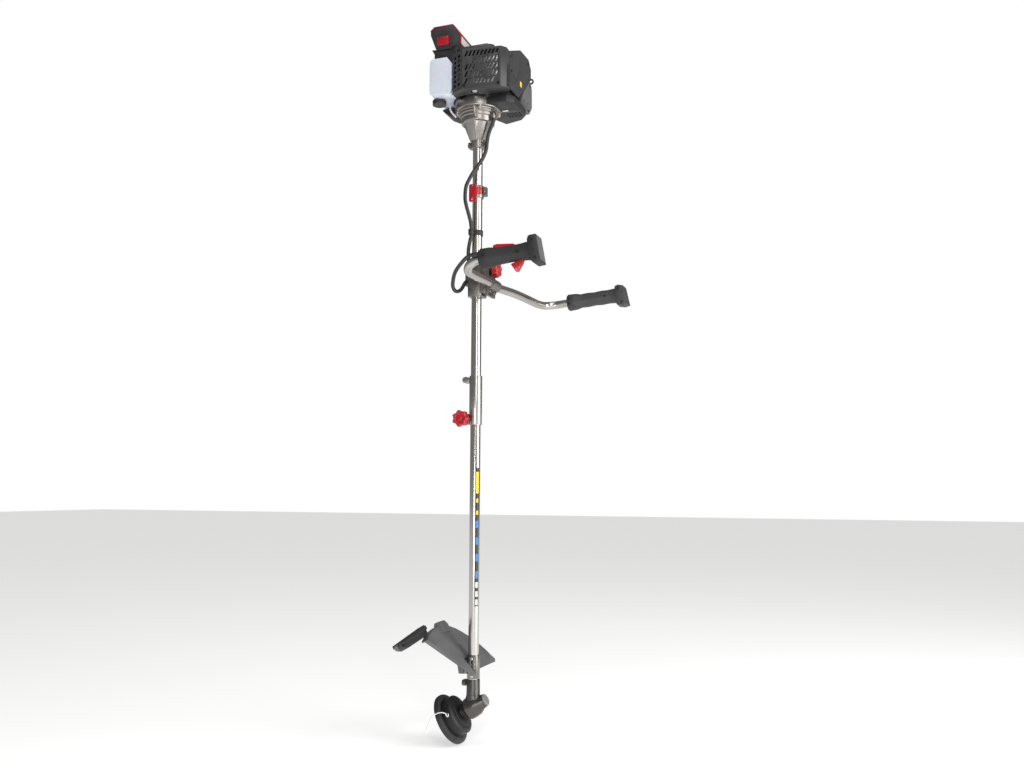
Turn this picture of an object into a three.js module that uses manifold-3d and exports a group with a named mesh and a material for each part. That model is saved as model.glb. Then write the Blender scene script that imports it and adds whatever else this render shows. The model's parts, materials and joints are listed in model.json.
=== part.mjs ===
// Petrol string trimmer with a two-piece shaft and a bike handlebar.
// Millimetres. +Z runs up the shaft to the engine, +X is the upper side in use,
// -Y is the operator's right. The origin is on the shaft's axis at the harness clamp.
import * as THREE from 'three';
import { mergeVertices } from 'three/addons/utils/BufferGeometryUtils.js';
import Module from 'manifold-3d';

const wasm = await Module();
wasm.setup();

// ---- Driving dimensions -------------------------------------------------------------
const GAP = 0.3;
const TUBE_R = 13;
const TUBE_WALL = 1.5;
const TUBE_BORE_R = TUBE_R - TUBE_WALL;
const TUBE_SEAT_R = TUBE_R + GAP;
const DRIVE_R = 4;
const UPPER_TUBE_TOP = 152;
const TUBE_JOINT_Z = -535;
const LOWER_TUBE_END = -1262;
const SLEEVE_TOP = -484;
const SLEEVE_BOTTOM = -609;
const SLEEVE_R = 16.5;
const COUPLING_KNOB = { x: -29, z: -594, r: 22 };

const CONE_BOTTOM = 118;
const FLANGE_TOP = 245;
const FLANGE_R = 61.5;
const SHROUD_TOP = 281;
const CYLINDER_Z = 313;
const BORE_R = 17.3;
const STROKE = 28;
const CHOKE = { x: 88, z: 338 };

const BAR_R = 11;
const BAR = { x: 45, z: -249 };
const BAR_SEAT_R = BAR_R + GAP;
const GRIP_TILT = THREE.MathUtils.degToRad(5);
const RIGHT_GRIP = { x: 82, y: -180, z: -228 };
const LEFT_GRIP = { x: 150, y: 330, z: -240 };
const CLAMP_KNOB = { x: 53, z: -209, r: 22.5 };

const GEAR_Z = -1303;
const HEAD_ANGLE = THREE.MathUtils.degToRad(60);
const LOOM_R = 4.8;

const COLOUR = {
  black: 0x1c1c1e,
  darkGrey: 0x3c3c3e,
  grey: 0x6b6b6d,
  castGrey: 0x77726c,
  steel: 0xb9b7b3,
  brightSteel: 0xd9d9d9,
  red: 0xb0141e,
  tank: 0xe6e9f4,
  line: 0xf4f4f0,
};

// ---- Shape helpers ------------------------------------------------------------------
const X_AXIS = new THREE.Vector3(1, 0, 0);
const Y_AXIS = new THREE.Vector3(0, 1, 0);
const Z_AXIS = new THREE.Vector3(0, 0, 1);

// Matrices that lay a shape drawn on (u, v) and raised along w on the named axis.
const LAY = {
  x: new THREE.Matrix4().makeBasis(Y_AXIS, Z_AXIS, X_AXIS),
  y: new THREE.Matrix4().makeBasis(X_AXIS, Z_AXIS, Y_AXIS),
  z: new THREE.Matrix4(),
};

const headMatrix = new THREE.Matrix4()
  .makeRotationY(HEAD_ANGLE)
  .setPosition(0, 0, GEAR_Z);

function signedVolume(position, index) {
  const a = new THREE.Vector3();
  const b = new THREE.Vector3();
  const c = new THREE.Vector3();
  let volume = 0;
  for (let i = 0; i < index.length; i += 3) {
    a.fromBufferAttribute(position, index[i]);
    b.fromBufferAttribute(position, index[i + 1]);
    c.fromBufferAttribute(position, index[i + 2]);
    volume += a.dot(b.cross(c)) / 6;
  }
  return volume;
}

// A closed solid from a geometry: shared vertices merged, faces out.
function toSolid(shape) {
  if (shape.isBufferGeometry !== true) return shape;
  const bare = shape.clone();
  bare.deleteAttribute('normal');
  bare.deleteAttribute('uv');
  const merged = mergeVertices(bare, 1e-3);
  const source = merged.index.array;
  let index = [];
  for (let i = 0; i < source.length; i += 3) {
    const [p, q, r] = [source[i], source[i + 1], source[i + 2]];
    if (p !== q && q !== r && r !== p) index.push(p, q, r);
  }
  if (signedVolume(merged.attributes.position, index) < 0) index = index.reverse();
  return new wasm.Manifold(new wasm.Mesh({
    numProp: 3,
    vertProperties: new Float32Array(merged.attributes.position.array),
    triVerts: new Uint32Array(index),
  }));
}

function join(...shapes) {
  return shapes.map(toSolid).reduce((whole, shape) => whole.add(shape));
}

function cut(shape, ...tools) {
  return tools.map(toSolid).reduce((whole, tool) => whole.subtract(tool), toSolid(shape));
}

function common(shape, other) {
  return toSolid(shape).intersect(toSolid(other));
}

function toGeometry(shape) {
  const { vertProperties, triVerts } = toSolid(shape).getMesh();
  const geometry = new THREE.BufferGeometry();
  geometry.setAttribute('position', new THREE.BufferAttribute(vertProperties, 3));
  geometry.setIndex(new THREE.BufferAttribute(triVerts, 1));
  geometry.computeVertexNormals();
  return geometry;
}

function box(x0, x1, y0, y1, z0, z1) {
  const geometry = new THREE.BoxGeometry(x1 - x0, y1 - y0, z1 - z0);
  return geometry.translate((x0 + x1) / 2, (y0 + y1) / 2, (z0 + z1) / 2);
}

// A straight prism of an outline [[u, v], ...] between two stations on an axis.
// On x the outline is (y, z), on y it is (x, z), on z it is (x, y).
function prism(outline, axis, from, to) {
  const shape = new THREE.Shape(outline.map(([u, v]) => new THREE.Vector2(u, v)));
  const geometry = new THREE.ExtrudeGeometry(shape, { depth: to - from, bevelEnabled: false });
  return geometry.translate(0, 0, from).applyMatrix4(LAY[axis]);
}

function circle(radius, sides, u = 0, v = 0) {
  const outline = [];
  for (let i = 0; i < sides; i += 1) {
    const turn = (2 * Math.PI * (i + 0.5)) / sides;
    outline.push([u + radius * Math.cos(turn), v + radius * Math.sin(turn)]);
  }
  return outline;
}

// A round rod on an axis through (u, v).
function rod(radius, axis, from, to, u = 0, v = 0, sides = 16) {
  return prism(circle(radius, sides, u, v), axis, from, to);
}

// A rectangle with round corners.
function roundBox(u0, u1, v0, v1, radius, steps = 2) {
  const outline = [];
  const centres = [
    [u1 - radius, v1 - radius, 0],
    [u0 + radius, v1 - radius, 1],
    [u0 + radius, v0 + radius, 2],
    [u1 - radius, v0 + radius, 3],
  ];
  for (const [u, v, quarter] of centres) {
    for (let i = 0; i <= steps; i += 1) {
      const turn = (Math.PI / 2) * (quarter + i / steps);
      outline.push([u + radius * Math.cos(turn), v + radius * Math.sin(turn)]);
    }
  }
  return outline;
}

// A turned body about +Z from a profile [[radius, z], ...].
function turned(profile, sides = 24) {
  const points = profile.map(([r, z]) => new THREE.Vector2(r, z));
  return new THREE.LatheGeometry(points, sides).rotateX(Math.PI / 2);
}

// A ring about +Z.
function ring(inner, outer, from, to, sides = 24) {
  return turned([[inner, from], [outer, from], [outer, to], [inner, to], [inner, from]], sides);
}

// A round bar along a smooth curve through points.
function bent(points, radius, sides, steps) {
  const curve = new THREE.CatmullRomCurve3(
    points.map(([x, y, z]) => new THREE.Vector3(x, y, z)),
    false,
    'centripetal',
  );
  const section = new THREE.Shape(circle(radius, sides).map(([u, v]) => new THREE.Vector2(u, v)));
  return new THREE.ExtrudeGeometry(section, { extrudePath: curve, steps, bevelEnabled: false });
}

// The outline of a hand knob with round lobes.
function lobes(radius, count, depth, u, v) {
  const steps = count * 6;
  const outline = [];
  for (let i = 0; i < steps; i += 1) {
    const turn = (2 * Math.PI * i) / steps;
    const r = radius - depth * (0.5 - 0.5 * Math.cos(count * turn));
    outline.push([u + r * Math.cos(turn), v + r * Math.sin(turn)]);
  }
  return outline;
}

const model = new THREE.Group();

function part(name, shape, colour, roughness, metalness, holder = model) {
  const material = new THREE.MeshStandardMaterial({ color: colour, roughness, metalness });
  const mesh = new THREE.Mesh(toGeometry(shape), material);
  mesh.name = name;
  holder.add(mesh);
}

// ---- Shaft --------------------------------------------------------------------------
function upperTube() {
  return ring(TUBE_BORE_R, TUBE_R, TUBE_JOINT_Z, UPPER_TUBE_TOP);
}

function lowerTube() {
  return ring(TUBE_BORE_R, TUBE_R, LOWER_TUBE_END, TUBE_JOINT_Z - 1);
}

// The upper shaft carries a square socket that the lower shaft's end runs in.
function upperDriveShaft() {
  const socket = rod(8, 'z', TUBE_JOINT_Z - 24, TUBE_JOINT_Z + 20, 0, 0, 16);
  const well = box(-3.4, 3.4, -3.4, 3.4, TUBE_JOINT_Z - 25, TUBE_JOINT_Z + 2);
  return cut(join(rod(DRIVE_R, 'z', TUBE_JOINT_Z + 10, 212, 0, 0, 16), socket), well);
}

function lowerDriveShaft() {
  const tongue = box(-2.3, 2.3, -2.3, 2.3, TUBE_JOINT_Z - 34, TUBE_JOINT_Z);
  const bar = rod(DRIVE_R, 'z', GEAR_Z + 18, TUBE_JOINT_Z - 26, 0, 0, 16);
  const pinion = turned([[0, 11.5], [10.6, 11.5], [14.4, 14.4], [9, 21], [0, 21]], 20);
  return join(tongue, bar, pinion.translate(0, 0, GEAR_Z));
}

function shaftBush(z) {
  return ring(DRIVE_R + GAP, TUBE_BORE_R - GAP, z - 15, z + 15, 20);
}

// ---- Shaft coupling -----------------------------------------------------------------
function couplingSleeve() {
  const body = ring(TUBE_SEAT_R, SLEEVE_R, SLEEVE_BOTTOM, SLEEVE_TOP);
  const { x, z } = COUPLING_KNOB;
  const lowerEar = prism(roundBox(x - 9, -14.6, z - 14, z + 14, 7), 'y', -9, 9);
  const upperEar = prism(roundBox(-34, -14.6, -502, -486, 7), 'y', -9, 9);
  const lowerSlit = box(x - 12, -12, -1.1, 1.1, SLEEVE_BOTTOM - 1, z + 32);
  const upperSlit = box(-36, -12, -1.1, 1.1, -512, SLEEVE_TOP + 1);
  const screwHole = rod(3.3, 'y', -12, 12, x, z, 16);
  return cut(join(body, lowerEar, upperEar), lowerSlit, upperSlit, screwHole);
}

function couplingKnob() {
  const { x, z, r } = COUPLING_KNOB;
  return join(
    prism(lobes(r, 7, 3.2, x, z), 'y', -38, -19),
    rod(9, 'y', -20, -9 - GAP, x, z, 20),
    rod(3, 'y', -10, 14, x, z, 16),
  );
}

// ---- Clutch -------------------------------------------------------------------------
function clutchHousing() {
  const shell = turned([
    [18, CONE_BOTTOM], [18, 138], [21, 140], [37, 182], [43, 184], [44, 187], [44, 197], [47, 199],
    [47, 205], [50, 207], [50, 212], [52, 213], [52, 216], [FLANGE_R - 1, 216], [FLANGE_R, 218],
    [FLANGE_R, FLANGE_TOP], [56, FLANGE_TOP], [46, 228], [41, 214], [24, 206], [17.3, 206],
    [17.3, 188], [9, 188], [9, 156], [TUBE_SEAT_R, 156], [TUBE_SEAT_R, CONE_BOTTOM],
    [18, CONE_BOTTOM],
  ], 24);
  const ribs = [];
  for (const turn of [-1.4, 0.17, 1.75, 2.9]) {
    const outline = [[20, 140], [36, 182], [42, 200], [50, 218], [55, 218], [40, 183], [24, 144]];
    const rib = prism(outline, 'y', -2, 2);
    ribs.push(rib.rotateZ(turn));
  }
  const bosses = [];
  for (let i = 0; i < 4; i += 1) {
    const turn = (Math.PI / 2) * i + 0.45;
    bosses.push(rod(6, 'z', 211, FLANGE_TOP - 1, 54.5 * Math.cos(turn), 54.5 * Math.sin(turn), 12));
  }
  const ear = prism(roundBox(-25, -16, 120, 136, 3), 'y', -8, 8);
  const earAcross = prism(roundBox(16, 24, 120, 136, 3), 'y', -8, 8);
  const slit = box(-30, -12, -1, 1, CONE_BOTTOM - 1, 140);
  const bolt = rod(3.5, 'y', -11, 11, -21, 128, 12);
  const loomGland = rod(5.6, 'z', 190, 208, 49.5, -16, 12);
  return join(cut(join(shell, ear, earAcross), slit), ...ribs, ...bosses, bolt, loomGland);
}

function clutchDrum() {
  return turned([
    [DRIVE_R + 0.1, 160], [8, 160], [8, 217], [37.5, 217], [37.5, 241], [35.3, 241],
    [35.3, 219.5], [DRIVE_R + 0.1, 219.5], [DRIVE_R + 0.1, 160],
  ], 28);
}

function clutchShoes() {
  const lining = ring(23, 34.6, 222, 238, 24);
  const hub = ring(6.3, 11, 222, 247.5, 20);
  const spring = cut(box(-25, 25, -5, 5, 227, 233), rod(8, 'z', 220, 240, 0, 0, 16));
  return join(cut(lining, box(-8, 8, -40, 40, 220, 240)), hub, spring);
}

function flywheel() {
  const disc = turned([
    [6.3, 249], [50, 249], [50, 256], [14, 256], [14, 276], [6.3, 276], [6.3, 249],
  ], 24);
  const vanes = [];
  for (let i = 0; i < 8; i += 1) {
    vanes.push(box(20, 49, -1.2, 1.2, 255, 271).rotateZ((Math.PI / 4) * i));
  }
  return join(disc, ...vanes);
}

// ---- Engine -------------------------------------------------------------------------
function fanHousing() {
  const skirtOutline = [
    [26, -46], [26, 60], [44, 98], [92, 84], [112, 60], [112, -30], [96, -46],
  ];
  const skirt = prism(skirtOutline, 'z', 218, 236);
  const roomOutline = skirtOutline.map(([x, y]) => [(x - 50) * 0.93 + 50, (y - 20) * 0.93 + 20]);
  const skirtRoom = prism(roomOutline, 'z', 221, 237);
  const drum = rod(63.5, 'z', FLANGE_TOP + GAP, SHROUD_TOP, 0, 0, 32);
  const duct = box(30, 97, -40, 40, 233, SHROUD_TOP);
  const ductRoom = box(28, 94, -37, 37, 236, SHROUD_TOP - 3);
  const eye = rod(FLANGE_R + GAP, 'z', 217, FLANGE_TOP + 0.3, 0, 0, 32);
  const fanRoom = rod(54, 'z', FLANGE_TOP, SHROUD_TOP - 3, 0, 0, 32);
  const shaftHole = rod(16, 'z', 270, SHROUD_TOP + 1);
  const airOut = box(66, 92, -30, 30, SHROUD_TOP - 5, SHROUD_TOP + 1);
  const slots = [];
  for (let i = 0; i < 5; i += 1) {
    for (let j = 0; j < 3; j += 1) {
      slots.push(box(68 + i * 8, 73.5 + i * 8, 30 + j * 10, 36.5 + j * 10, 215, 225));
    }
  }
  const shell = join(cut(skirt, skirtRoom), drum, duct);
  return cut(shell, ductRoom, eye, fanRoom, shaftHole, airOut, ...slots);
}

function crankshaft() {
  return join(
    rod(6, 'z', 240, 300, 0, 0, 16),
    rod(22, 'z', 300, 305),
    rod(4, 'z', 304, 322, STROKE / 2, 0, 12),
    rod(22, 'z', 321, 326),
    rod(6, 'z', 325, 366, 0, 0, 16),
  );
}

function crankcase() {
  const outline = [
    [-40, -24], [-28, -40], [28, -44], [42, -36], [42, 36], [28, 44], [-28, 40], [-40, 24],
  ];
  return cut(
    prism(outline, 'z', 282, 344),
    rod(24, 'z', 297, 329),
    rod(6.4, 'z', 280, 346, 0, 0, 16),
    rod(BORE_R, 'x', 10, 44, 0, CYLINDER_Z),
  );
}

function cylinder() {
  const fins = [];
  for (let i = 0; i < 7; i += 1) {
    fins.push(box(46 + i * 7, 48.4 + i * 7, -33, 33, 283, 343));
  }
  const barrel = rod(22, 'x', 42.3, 92, 0, CYLINDER_Z);
  const foot = box(42.3, 47, -30, 30, 286, 340);
  const plugBoss = box(74, 90, -10, 10, 330, 343);
  const exhaust = box(52, 72, -43, -20, 300, 326);
  const intake = box(52, 72, 20, 39, 300, 326);
  return cut(
    join(barrel, foot, ...fins, plugBoss, exhaust, intake),
    rod(BORE_R, 'x', 40, 85.5, 0, CYLINDER_Z),
    rod(6, 'y', -45, -10, 62, CYLINDER_Z, 12),
    rod(6, 'y', 10, 45, 62, CYLINDER_Z, 12),
    rod(5.3, 'z', 320, 345, 82, 0, 12),
  );
}

function piston() {
  const skirt = rod(BORE_R - GAP, 'x', 58, 84, 0, CYLINDER_Z);
  const hollow = rod(13.5, 'x', 57, 79, 0, CYLINDER_Z);
  return join(cut(skirt, hollow), rod(4, 'y', -14, 14, 70, CYLINDER_Z, 12));
}

function sparkPlug() {
  return join(
    rod(5, 'z', 331, 346, 82, 0, 12),
    prism(circle(9, 6, 82, 0), 'z', 343.3, 348),
    rod(5, 'z', 347, 354, 82, 0, 12),
    rod(7.5, 'z', 352, 364, 82, 0, 16),
    rod(4.5, 'x', 62, 84, 0, 358, 12),
  );
}

function muffler() {
  const outerHalf = prism(roundBox(2, 88, -84, -64.3, 6), 'z', 256, 334);
  const innerHalf = prism(roundBox(6, 84, -72, -46.5, 4), 'z', 283, 332);
  const port = box(50, 74, -47, -43.3, 298, 328);
  const outlet = rod(7, 'z', 242, 258, 20, -75, 16);
  return join(outerHalf, innerHalf, port, outlet);
}

const COVER_PLAN = [[-40, -53], [-40, -82], [-3, -105], [96, -90], [107, -76], [107, -53]];
const COVER_INSIDE = [
  [-37.5, -51], [-37.5, -80.6], [-2.6, -102.3], [95, -87.6], [104.5, -75], [104.5, -51],
];

// Slanted vents of the exhaust guard, in four rows that leave a bar from corner to corner.
function coverVents() {
  const vents = [];
  for (let row = 0; row < 4; row += 1) {
    for (let i = 0; i < 7; i += 1) {
      const u = 6 + i * 12;
      const v = 254 + row * 22;
      const onBar = Math.abs(v + 9 - (340 - u * 0.95)) < 11;
      if (!onBar) {
        vents.push(prism([[u, v], [u + 4.5, v], [u + 12, v + 17], [u + 7.5, v + 17]], 'y', -110, -82));
      }
    }
  }
  return vents;
}

function mufflerCover() {
  const sideVents = [];
  for (let i = 0; i < 6; i += 1) {
    sideVents.push(box(-34, -26, -106, -76, 254 + i * 14, 262 + i * 14));
    sideVents.push(box(-20, -11, -108, -86, 254 + i * 14, 262 + i * 14));
  }
  return cut(
    prism(COVER_PLAN, 'z', 241, 347),
    prism(COVER_INSIDE, 'z', 243.5, 344.5),
    rod(65.5, 'z', 239, 246, 0, 0, 48),
    rod(10, 'z', 239, 246, 20, -75, 16),
    ...coverVents(),
    ...sideVents,
  );
}

function cylinderCover() {
  const outer = [
    [-49.5, 283], [-49.5, 350], [30, 388], [98, 392], [118, 372], [118, 342], [104, 334], [52, 283],
  ];
  const inner = [
    [-46.5, 280], [-46.5, 348], [30.5, 385], [97, 389], [115, 371], [115, 343.5], [102, 337], [50, 286],
    [50, 280],
  ];
  const shell = cut(prism(outer, 'x', 98, 107), prism(inner, 'x', 96, 104));
  const lip = prism([[-49.5, 250], [-49.5, 284], [53, 284], [17, 250]], 'x', 99, 107);
  const lipRoom = prism([[-46.5, 248], [-46.5, 287], [51, 287], [15, 248]], 'x', 98, 104);
  const roof = prism([[30, 388], [98, 392], [98, 389], [30.5, 385]], 'x', 66, 100);
  const slope = prism([[-49.5, 350], [30, 388], [30.5, 385], [-48, 347]], 'x', 66, 100);
  return join(shell, cut(lip, lipRoom), roof, slope);
}

function carburettor() {
  const bracket = cut(
    box(66, 94, 62, 69.7, 322, 344),
    rod(3.8, 'y', 60, 80, CHOKE.x, CHOKE.z, 12),
  );
  return join(
    bracket,
    box(50, 76, 39.3, 66, 298, 326),
    rod(9, 'y', 60, 71.7, 63, 312, 16),
    rod(3, 'z', 320, 331, 56, 52, 10),
    rod(6, 'z', 290, 300, 63, 52, 12),
  );
}

function airFilter() {
  const frame = prism(roundBox(50, 92, 286, 324, 5), 'y', 78, 96);
  return join(frame, rod(12, 'y', 72, 80, 63, 312, 16));
}

function airFilterCover() {
  const face = [
    [40, 246], [58, 284], [105, 332], [123, 326], [127, 316], [127, 266], [105, 240],
  ];
  const faceRoom = [
    [44, 249], [60, 282], [106, 329], [121, 324], [124, 315], [124, 267], [104, 243],
  ];
  const solid = join(
    prism(face, 'x', 95, 107),
    prism(roundBox(70, 127, 264, 331, 6), 'x', 45, 97.6),
  );
  const room = join(
    prism(faceRoom, 'x', 94, 103.5),
    prism(roundBox(72.5, 124.5, 266.5, 328.5, 4), 'x', 47.5, 95.1),
    box(48, 94, 68, 76, 284, 326),
  );
  const window = prism([[80, 258], [66, 268], [100, 310], [115, 302], [115, 280]], 'x', 104.5, 110);
  const knobHole = rod(3.3, 'y', 110, 131, 90, 303, 12);
  return cut(solid, room, window, knobHole);
}

function airFilterKnob() {
  return join(
    prism(lobes(10.5, 5, 1.5, 90, 303), 'y', 127.3, 135),
    rod(3, 'y', 100, 128, 90, 303, 12),
  );
}

function chokeLever() {
  const { x, z } = CHOKE;
  const arm = prism([[x - 5, z - 4], [x + 12, z + 1], [x + 12, z + 7], [x - 4, z + 5]], 'y', 126, 129.5);
  const eye = cut(rod(8, 'y', 126, 129.5, x + 16, z + 5, 20), rod(4, 'y', 124, 131, x + 16, z + 5, 16));
  return join(arm, eye, rod(3.5, 'y', 64, 131, x, z, 12));
}

function fuelTank() {
  const outline = roundBox(-104, -42, 243, 343, 12, 3);
  const body = prism(outline, 'y', -84, 56);
  const bevel = prism([[-57, 345], [-40, 345], [-40, 322]], 'y', -86, 58);
  const foot = box(-58, -40.6, -72, -40, 243, 256);
  const neck = rod(14, 'z', 236, 246, -88, -54, 24);
  const room = prism(roundBox(-101, -45, 246, 340, 10, 3), 'y', -81, 53);
  const mouth = rod(11, 'z', 230, 250, -88, -54, 20);
  const drumWay = rod(65.5, 'z', 230, 283, 0, 0, 32);
  const aroundDrum = rod(68.5, 'z', 240, 286, 0, 0, 32);
  const outside = cut(join(cut(body, bevel), foot, neck), drumWay);
  return cut(outside, cut(room, bevel.clone().translate(-4, 0, -4), aroundDrum), mouth);
}

function fuelCap() {
  const outer = prism(circle(18, 24, -88, -54), 'z', 229, 240);
  return cut(outer, rod(14.3, 'z', 233, 242, -88, -54, 24));
}

const FUEL_LINE_ROUTE = [
  [-69, -27, 242.6], [-69, -27, 236], [-68, -29, 227], [-64, -31, 217], [-57, -31, 208],
  [-51, -29, 201],
];

function fuelLine() {
  return bent(FUEL_LINE_ROUTE, 2.4, 8, 12);
}

function tankStand() {
  const outline = [[-56, 216], [-56, 238], [-98, 240], [-102, 236], [-92, 226], [-72, 216]];
  const bracket = prism(outline, 'y', -4, 50);
  return cut(bracket, rod(FLANGE_R + 0.5, 'z', 210, 245, 0, 0, 32));
}

function starterHousing() {
  const outer = [
    [-42, -36], [-34, -48], [40, -48], [56, -36], [56, 84], [40, 98], [-30, 98], [-42, 84],
  ];
  const inner = outer.map(([x, y]) => [(x - 7) * 0.94 + 7, (y - 25) * 0.96 + 25]);
  const body = cut(prism(outer, 'z', 348, 382), prism(inner, 'z', 346, 379));
  const crown = cut(rod(36, 'z', 378, 387, 2, 18, 28), rod(32, 'z', 374, 384, 2, 18, 28));
  const slots = [];
  for (let i = 0; i < 8; i += 1) {
    slots.push(box(18, 28, -2, 2, 382, 389).rotateZ((Math.PI / 4) * i).translate(2, 18, 0));
  }
  const foot = box(-40, 40, -46, -34, 344.3, 352);
  return cut(join(body, crown, foot), ...slots);
}

function starterMotor() {
  return join(rod(19, 'z', 350, 372, -14, 62), rod(5, 'z', 371, 377, -14, 62, 12));
}

function batteryHolder() {
  const post = [[-108, 350], [-42.3, 350], [-42.3, 388], [-116, 388], [-108, 376]];
  const room = [[-104, 346], [-45.3, 346], [-45.3, 384], [-108, 384], [-104, 374]];
  return cut(
    prism(post, 'y', -46, 54),
    prism(room, 'y', -42, 50),
    box(-104, -58, -50, 48, 383.5, 390),
  );
}

function batteryPack() {
  const shell = prism([
    [-118, 428], [-103, 388.3], [-52, 388.3], [-45, 400], [-45, 438], [-54, 450], [-108, 450], [-118, 440],
  ], 'y', -50, 56);
  const rail = box(-102, -58.5, -49, 45, 384.5, 389);
  const buttonRoom = box(-99, -65, -53, -38, 394, 420);
  return cut(join(shell, rail), buttonRoom);
}

function batteryButton() {
  return join(box(-98, -66, -51.5, -42, 395, 419), box(-92, -72, -43, -41, 401, 413));
}

// ---- Harness clamp and cable clip ---------------------------------------------------
function harnessClamp() {
  const band = ring(TUBE_SEAT_R, 16.5, -16, 16);
  const ears = box(15, 26, -7, 7, -12, 12);
  const slit = box(12, 28, -1.2, 1.2, -17, 17);
  return join(cut(join(band, ears), slit), rod(3, 'y', -10, 10, 21, 0, 12));
}

function harnessTab() {
  const plate = prism(roundBox(-15, 5, -30, 17, 4), 'y', -22.5, -19.5);
  const strap = cut(ring(16.8, 20, -9, 9), box(13, 24, -11, 11, -10, 10));
  const holes = [];
  for (const z of [-22, 11]) holes.push(rod(4, 'y', -30, -17, -5, z, 16));
  return cut(join(strap, plate), ...holes);
}

function cableClip() {
  const band = ring(TUBE_SEAT_R, 15.4, -117, -103);
  const loop = cut(rod(8, 'z', -117, -103, -9, -18.5, 16), rod(LOOM_R + 0.9, 'z', -120, -100, -9, -18.5, 16));
  return cut(join(band, loop), rod(TUBE_SEAT_R, 'z', -120, -100, 0, 0, 24));
}

// ---- Wiring loom --------------------------------------------------------------------
const ENGINE_LOOM_ROUTE = [
  [50, -16.3, 188.8], [49.2, -16.2, 182], [43, -15, 168], [35, -13, 150],
  [31, -13, 130],
  [29, -14, 109], [23, -18, 88], [13, -23, 68], [3, -26, 54], [-6, -29, 38], [-13, -31, 24],
  [-19, -32, 10], [-21, -33, -8], [-21, -33, -26], [-18, -31, -44], [-14, -27, -62], [-10.5, -21, -82],
  [-9, -18.5, -100], [-9, -18.5, -110], [-9, -18.5, -120], [-14, -16.5, -136], [-21, -8, -156],
  [-25, 3, -176], [-27.6, 11, -196], [-28, 12, -206], [-28, 12, -213.6],
];

const GRIP_LOOM_ROUTE = [
  [-28, 2.4, -236], [-28, -3, -236], [-29, -12, -243], [-30.5, -24, -257], [-32, -40, -268],
  [-34, -61, -272], [-32, -81, -265], [-24, -98, -253], [-13, -114, -240], [3, -131, -230],
  [22, -150, -223], [42, -172, -219], [60, -188, -218], [71, -192.5, -218], [79.5, -193, -217.5],
];

// ---- Handlebar ----------------------------------------------------------------------
function handlebarClamp() {
  const holder = prism(roundBox(-19, 22, -21, 21, 7), 'z', -279, -188);
  const arm = box(18, 34, -25, 25, -272, -193);
  const tubeBore = rod(TUBE_SEAT_R, 'z', -285, -180, 0, 0, 24);
  const barSeat = rod(BAR_SEAT_R, 'y', -30, 30, BAR.x, BAR.z, 20);
  const knobHole = rod(3.3, 'x', 12, 40, 0, CLAMP_KNOB.z, 12);
  const boltHead = rod(5, 'x', 30, 47, -15, -268, 6);
  const boltHeadFar = rod(5, 'x', 30, 47, 15, -268, 6);
  const relief = cut(
    join(box(-34, -18, 4, 20, -246, -214), rod(6.5, 'y', 2.8, 6, -28, -236, 16)),
    rod(TUBE_SEAT_R, 'z', -285, -180, 0, 0, 24),
  );
  const block = cut(join(holder, arm), tubeBore, barSeat, knobHole);
  return join(block, relief, boltHead, boltHeadFar);
}

function handlebarCap() {
  const outline = [
    [34.3, -280], [42, -280], [42, -266], [50, -264], [58, -257], [61, -249], [58, -241],
    [50, -234.5], [43, -232.5], [42, -226], [42, -195], [34.3, -195],
  ];
  const bolts = [];
  for (const y of [-15, 15]) bolts.push(rod(5.4, 'x', 30, 50, y, -268, 12));
  return cut(
    prism(outline, 'y', -25, 25),
    rod(BAR_SEAT_R, 'y', -30, 30, BAR.x, BAR.z, 20),
    rod(3.3, 'x', 30, 50, 0, CLAMP_KNOB.z, 12),
    ...bolts,
  );
}

function clampKnob() {
  const { x, z, r } = CLAMP_KNOB;
  return join(
    prism(lobes(r, 7, 3.2, 0, z), 'x', x - 6, x + 10),
    rod(9, 'x', 42 + GAP, x - 5, 0, z, 20),
    rod(3, 'x', 16, 44, 0, z, 12),
  );
}

const BAR_ROUTE = [
  [183.6, -180, -219.1], [140, -180, -222.9], [100, -180, -226.4], [82, -180, -228],
  [67, -179, -231], [51, -174, -239], [41, -157, -247], [40, -130, -249], [43, -80, -249],
  [BAR.x, -46, BAR.z], [BAR.x, -28, BAR.z], [BAR.x, 28, BAR.z], [BAR.x, 46, BAR.z],
  [50, 70, -249], [60, 115, -249], [67, 170, -249], [71, 240, -248], [74, 290, -247],
  [84, 317, -246], [108, 330, -243.7], [150, 330, -240], [220, 330, -233.9], [283.5, 330, -228.3],
];

function handlebar() {
  return cut(bent(BAR_ROUTE, BAR_R, 12, 40), bent(BAR_ROUTE, BAR_R - 2, 8, 40));
}

// ---- Grips, drawn from their inner end at the origin along +X ---------------------------
function ovalBody(profile, squash, sides = 28) {
  const body = turned(profile.map(([x, r]) => [r, x]), sides);
  return body.rotateY(Math.PI / 2).scale(1, squash, 1);
}

function leftGrip() {
  const body = ovalBody([
    [0, 0], [0, 21], [4, 24], [26, 23], [40, 19.5], [60, 20.5], [80, 19], [100, 20.5], [120, 19.5],
    [138, 21], [146, 25], [146, 0],
  ], 0.86);
  const plate = prism([[144, -29], [160, -33], [174, -30], [167, 22], [152, 26], [143, 22]], 'y', -22, 22);
  const bore = rod(BAR_SEAT_R, 'x', -2, 138, 0, 0, 24);
  const slots = [];
  for (const y of [-13.5, -4.5, 4.5, 13.5]) slots.push(box(163, 180, y - 2, y + 2, -20, 14));
  return cut(join(body, plate), bore, ...slots);
}

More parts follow.
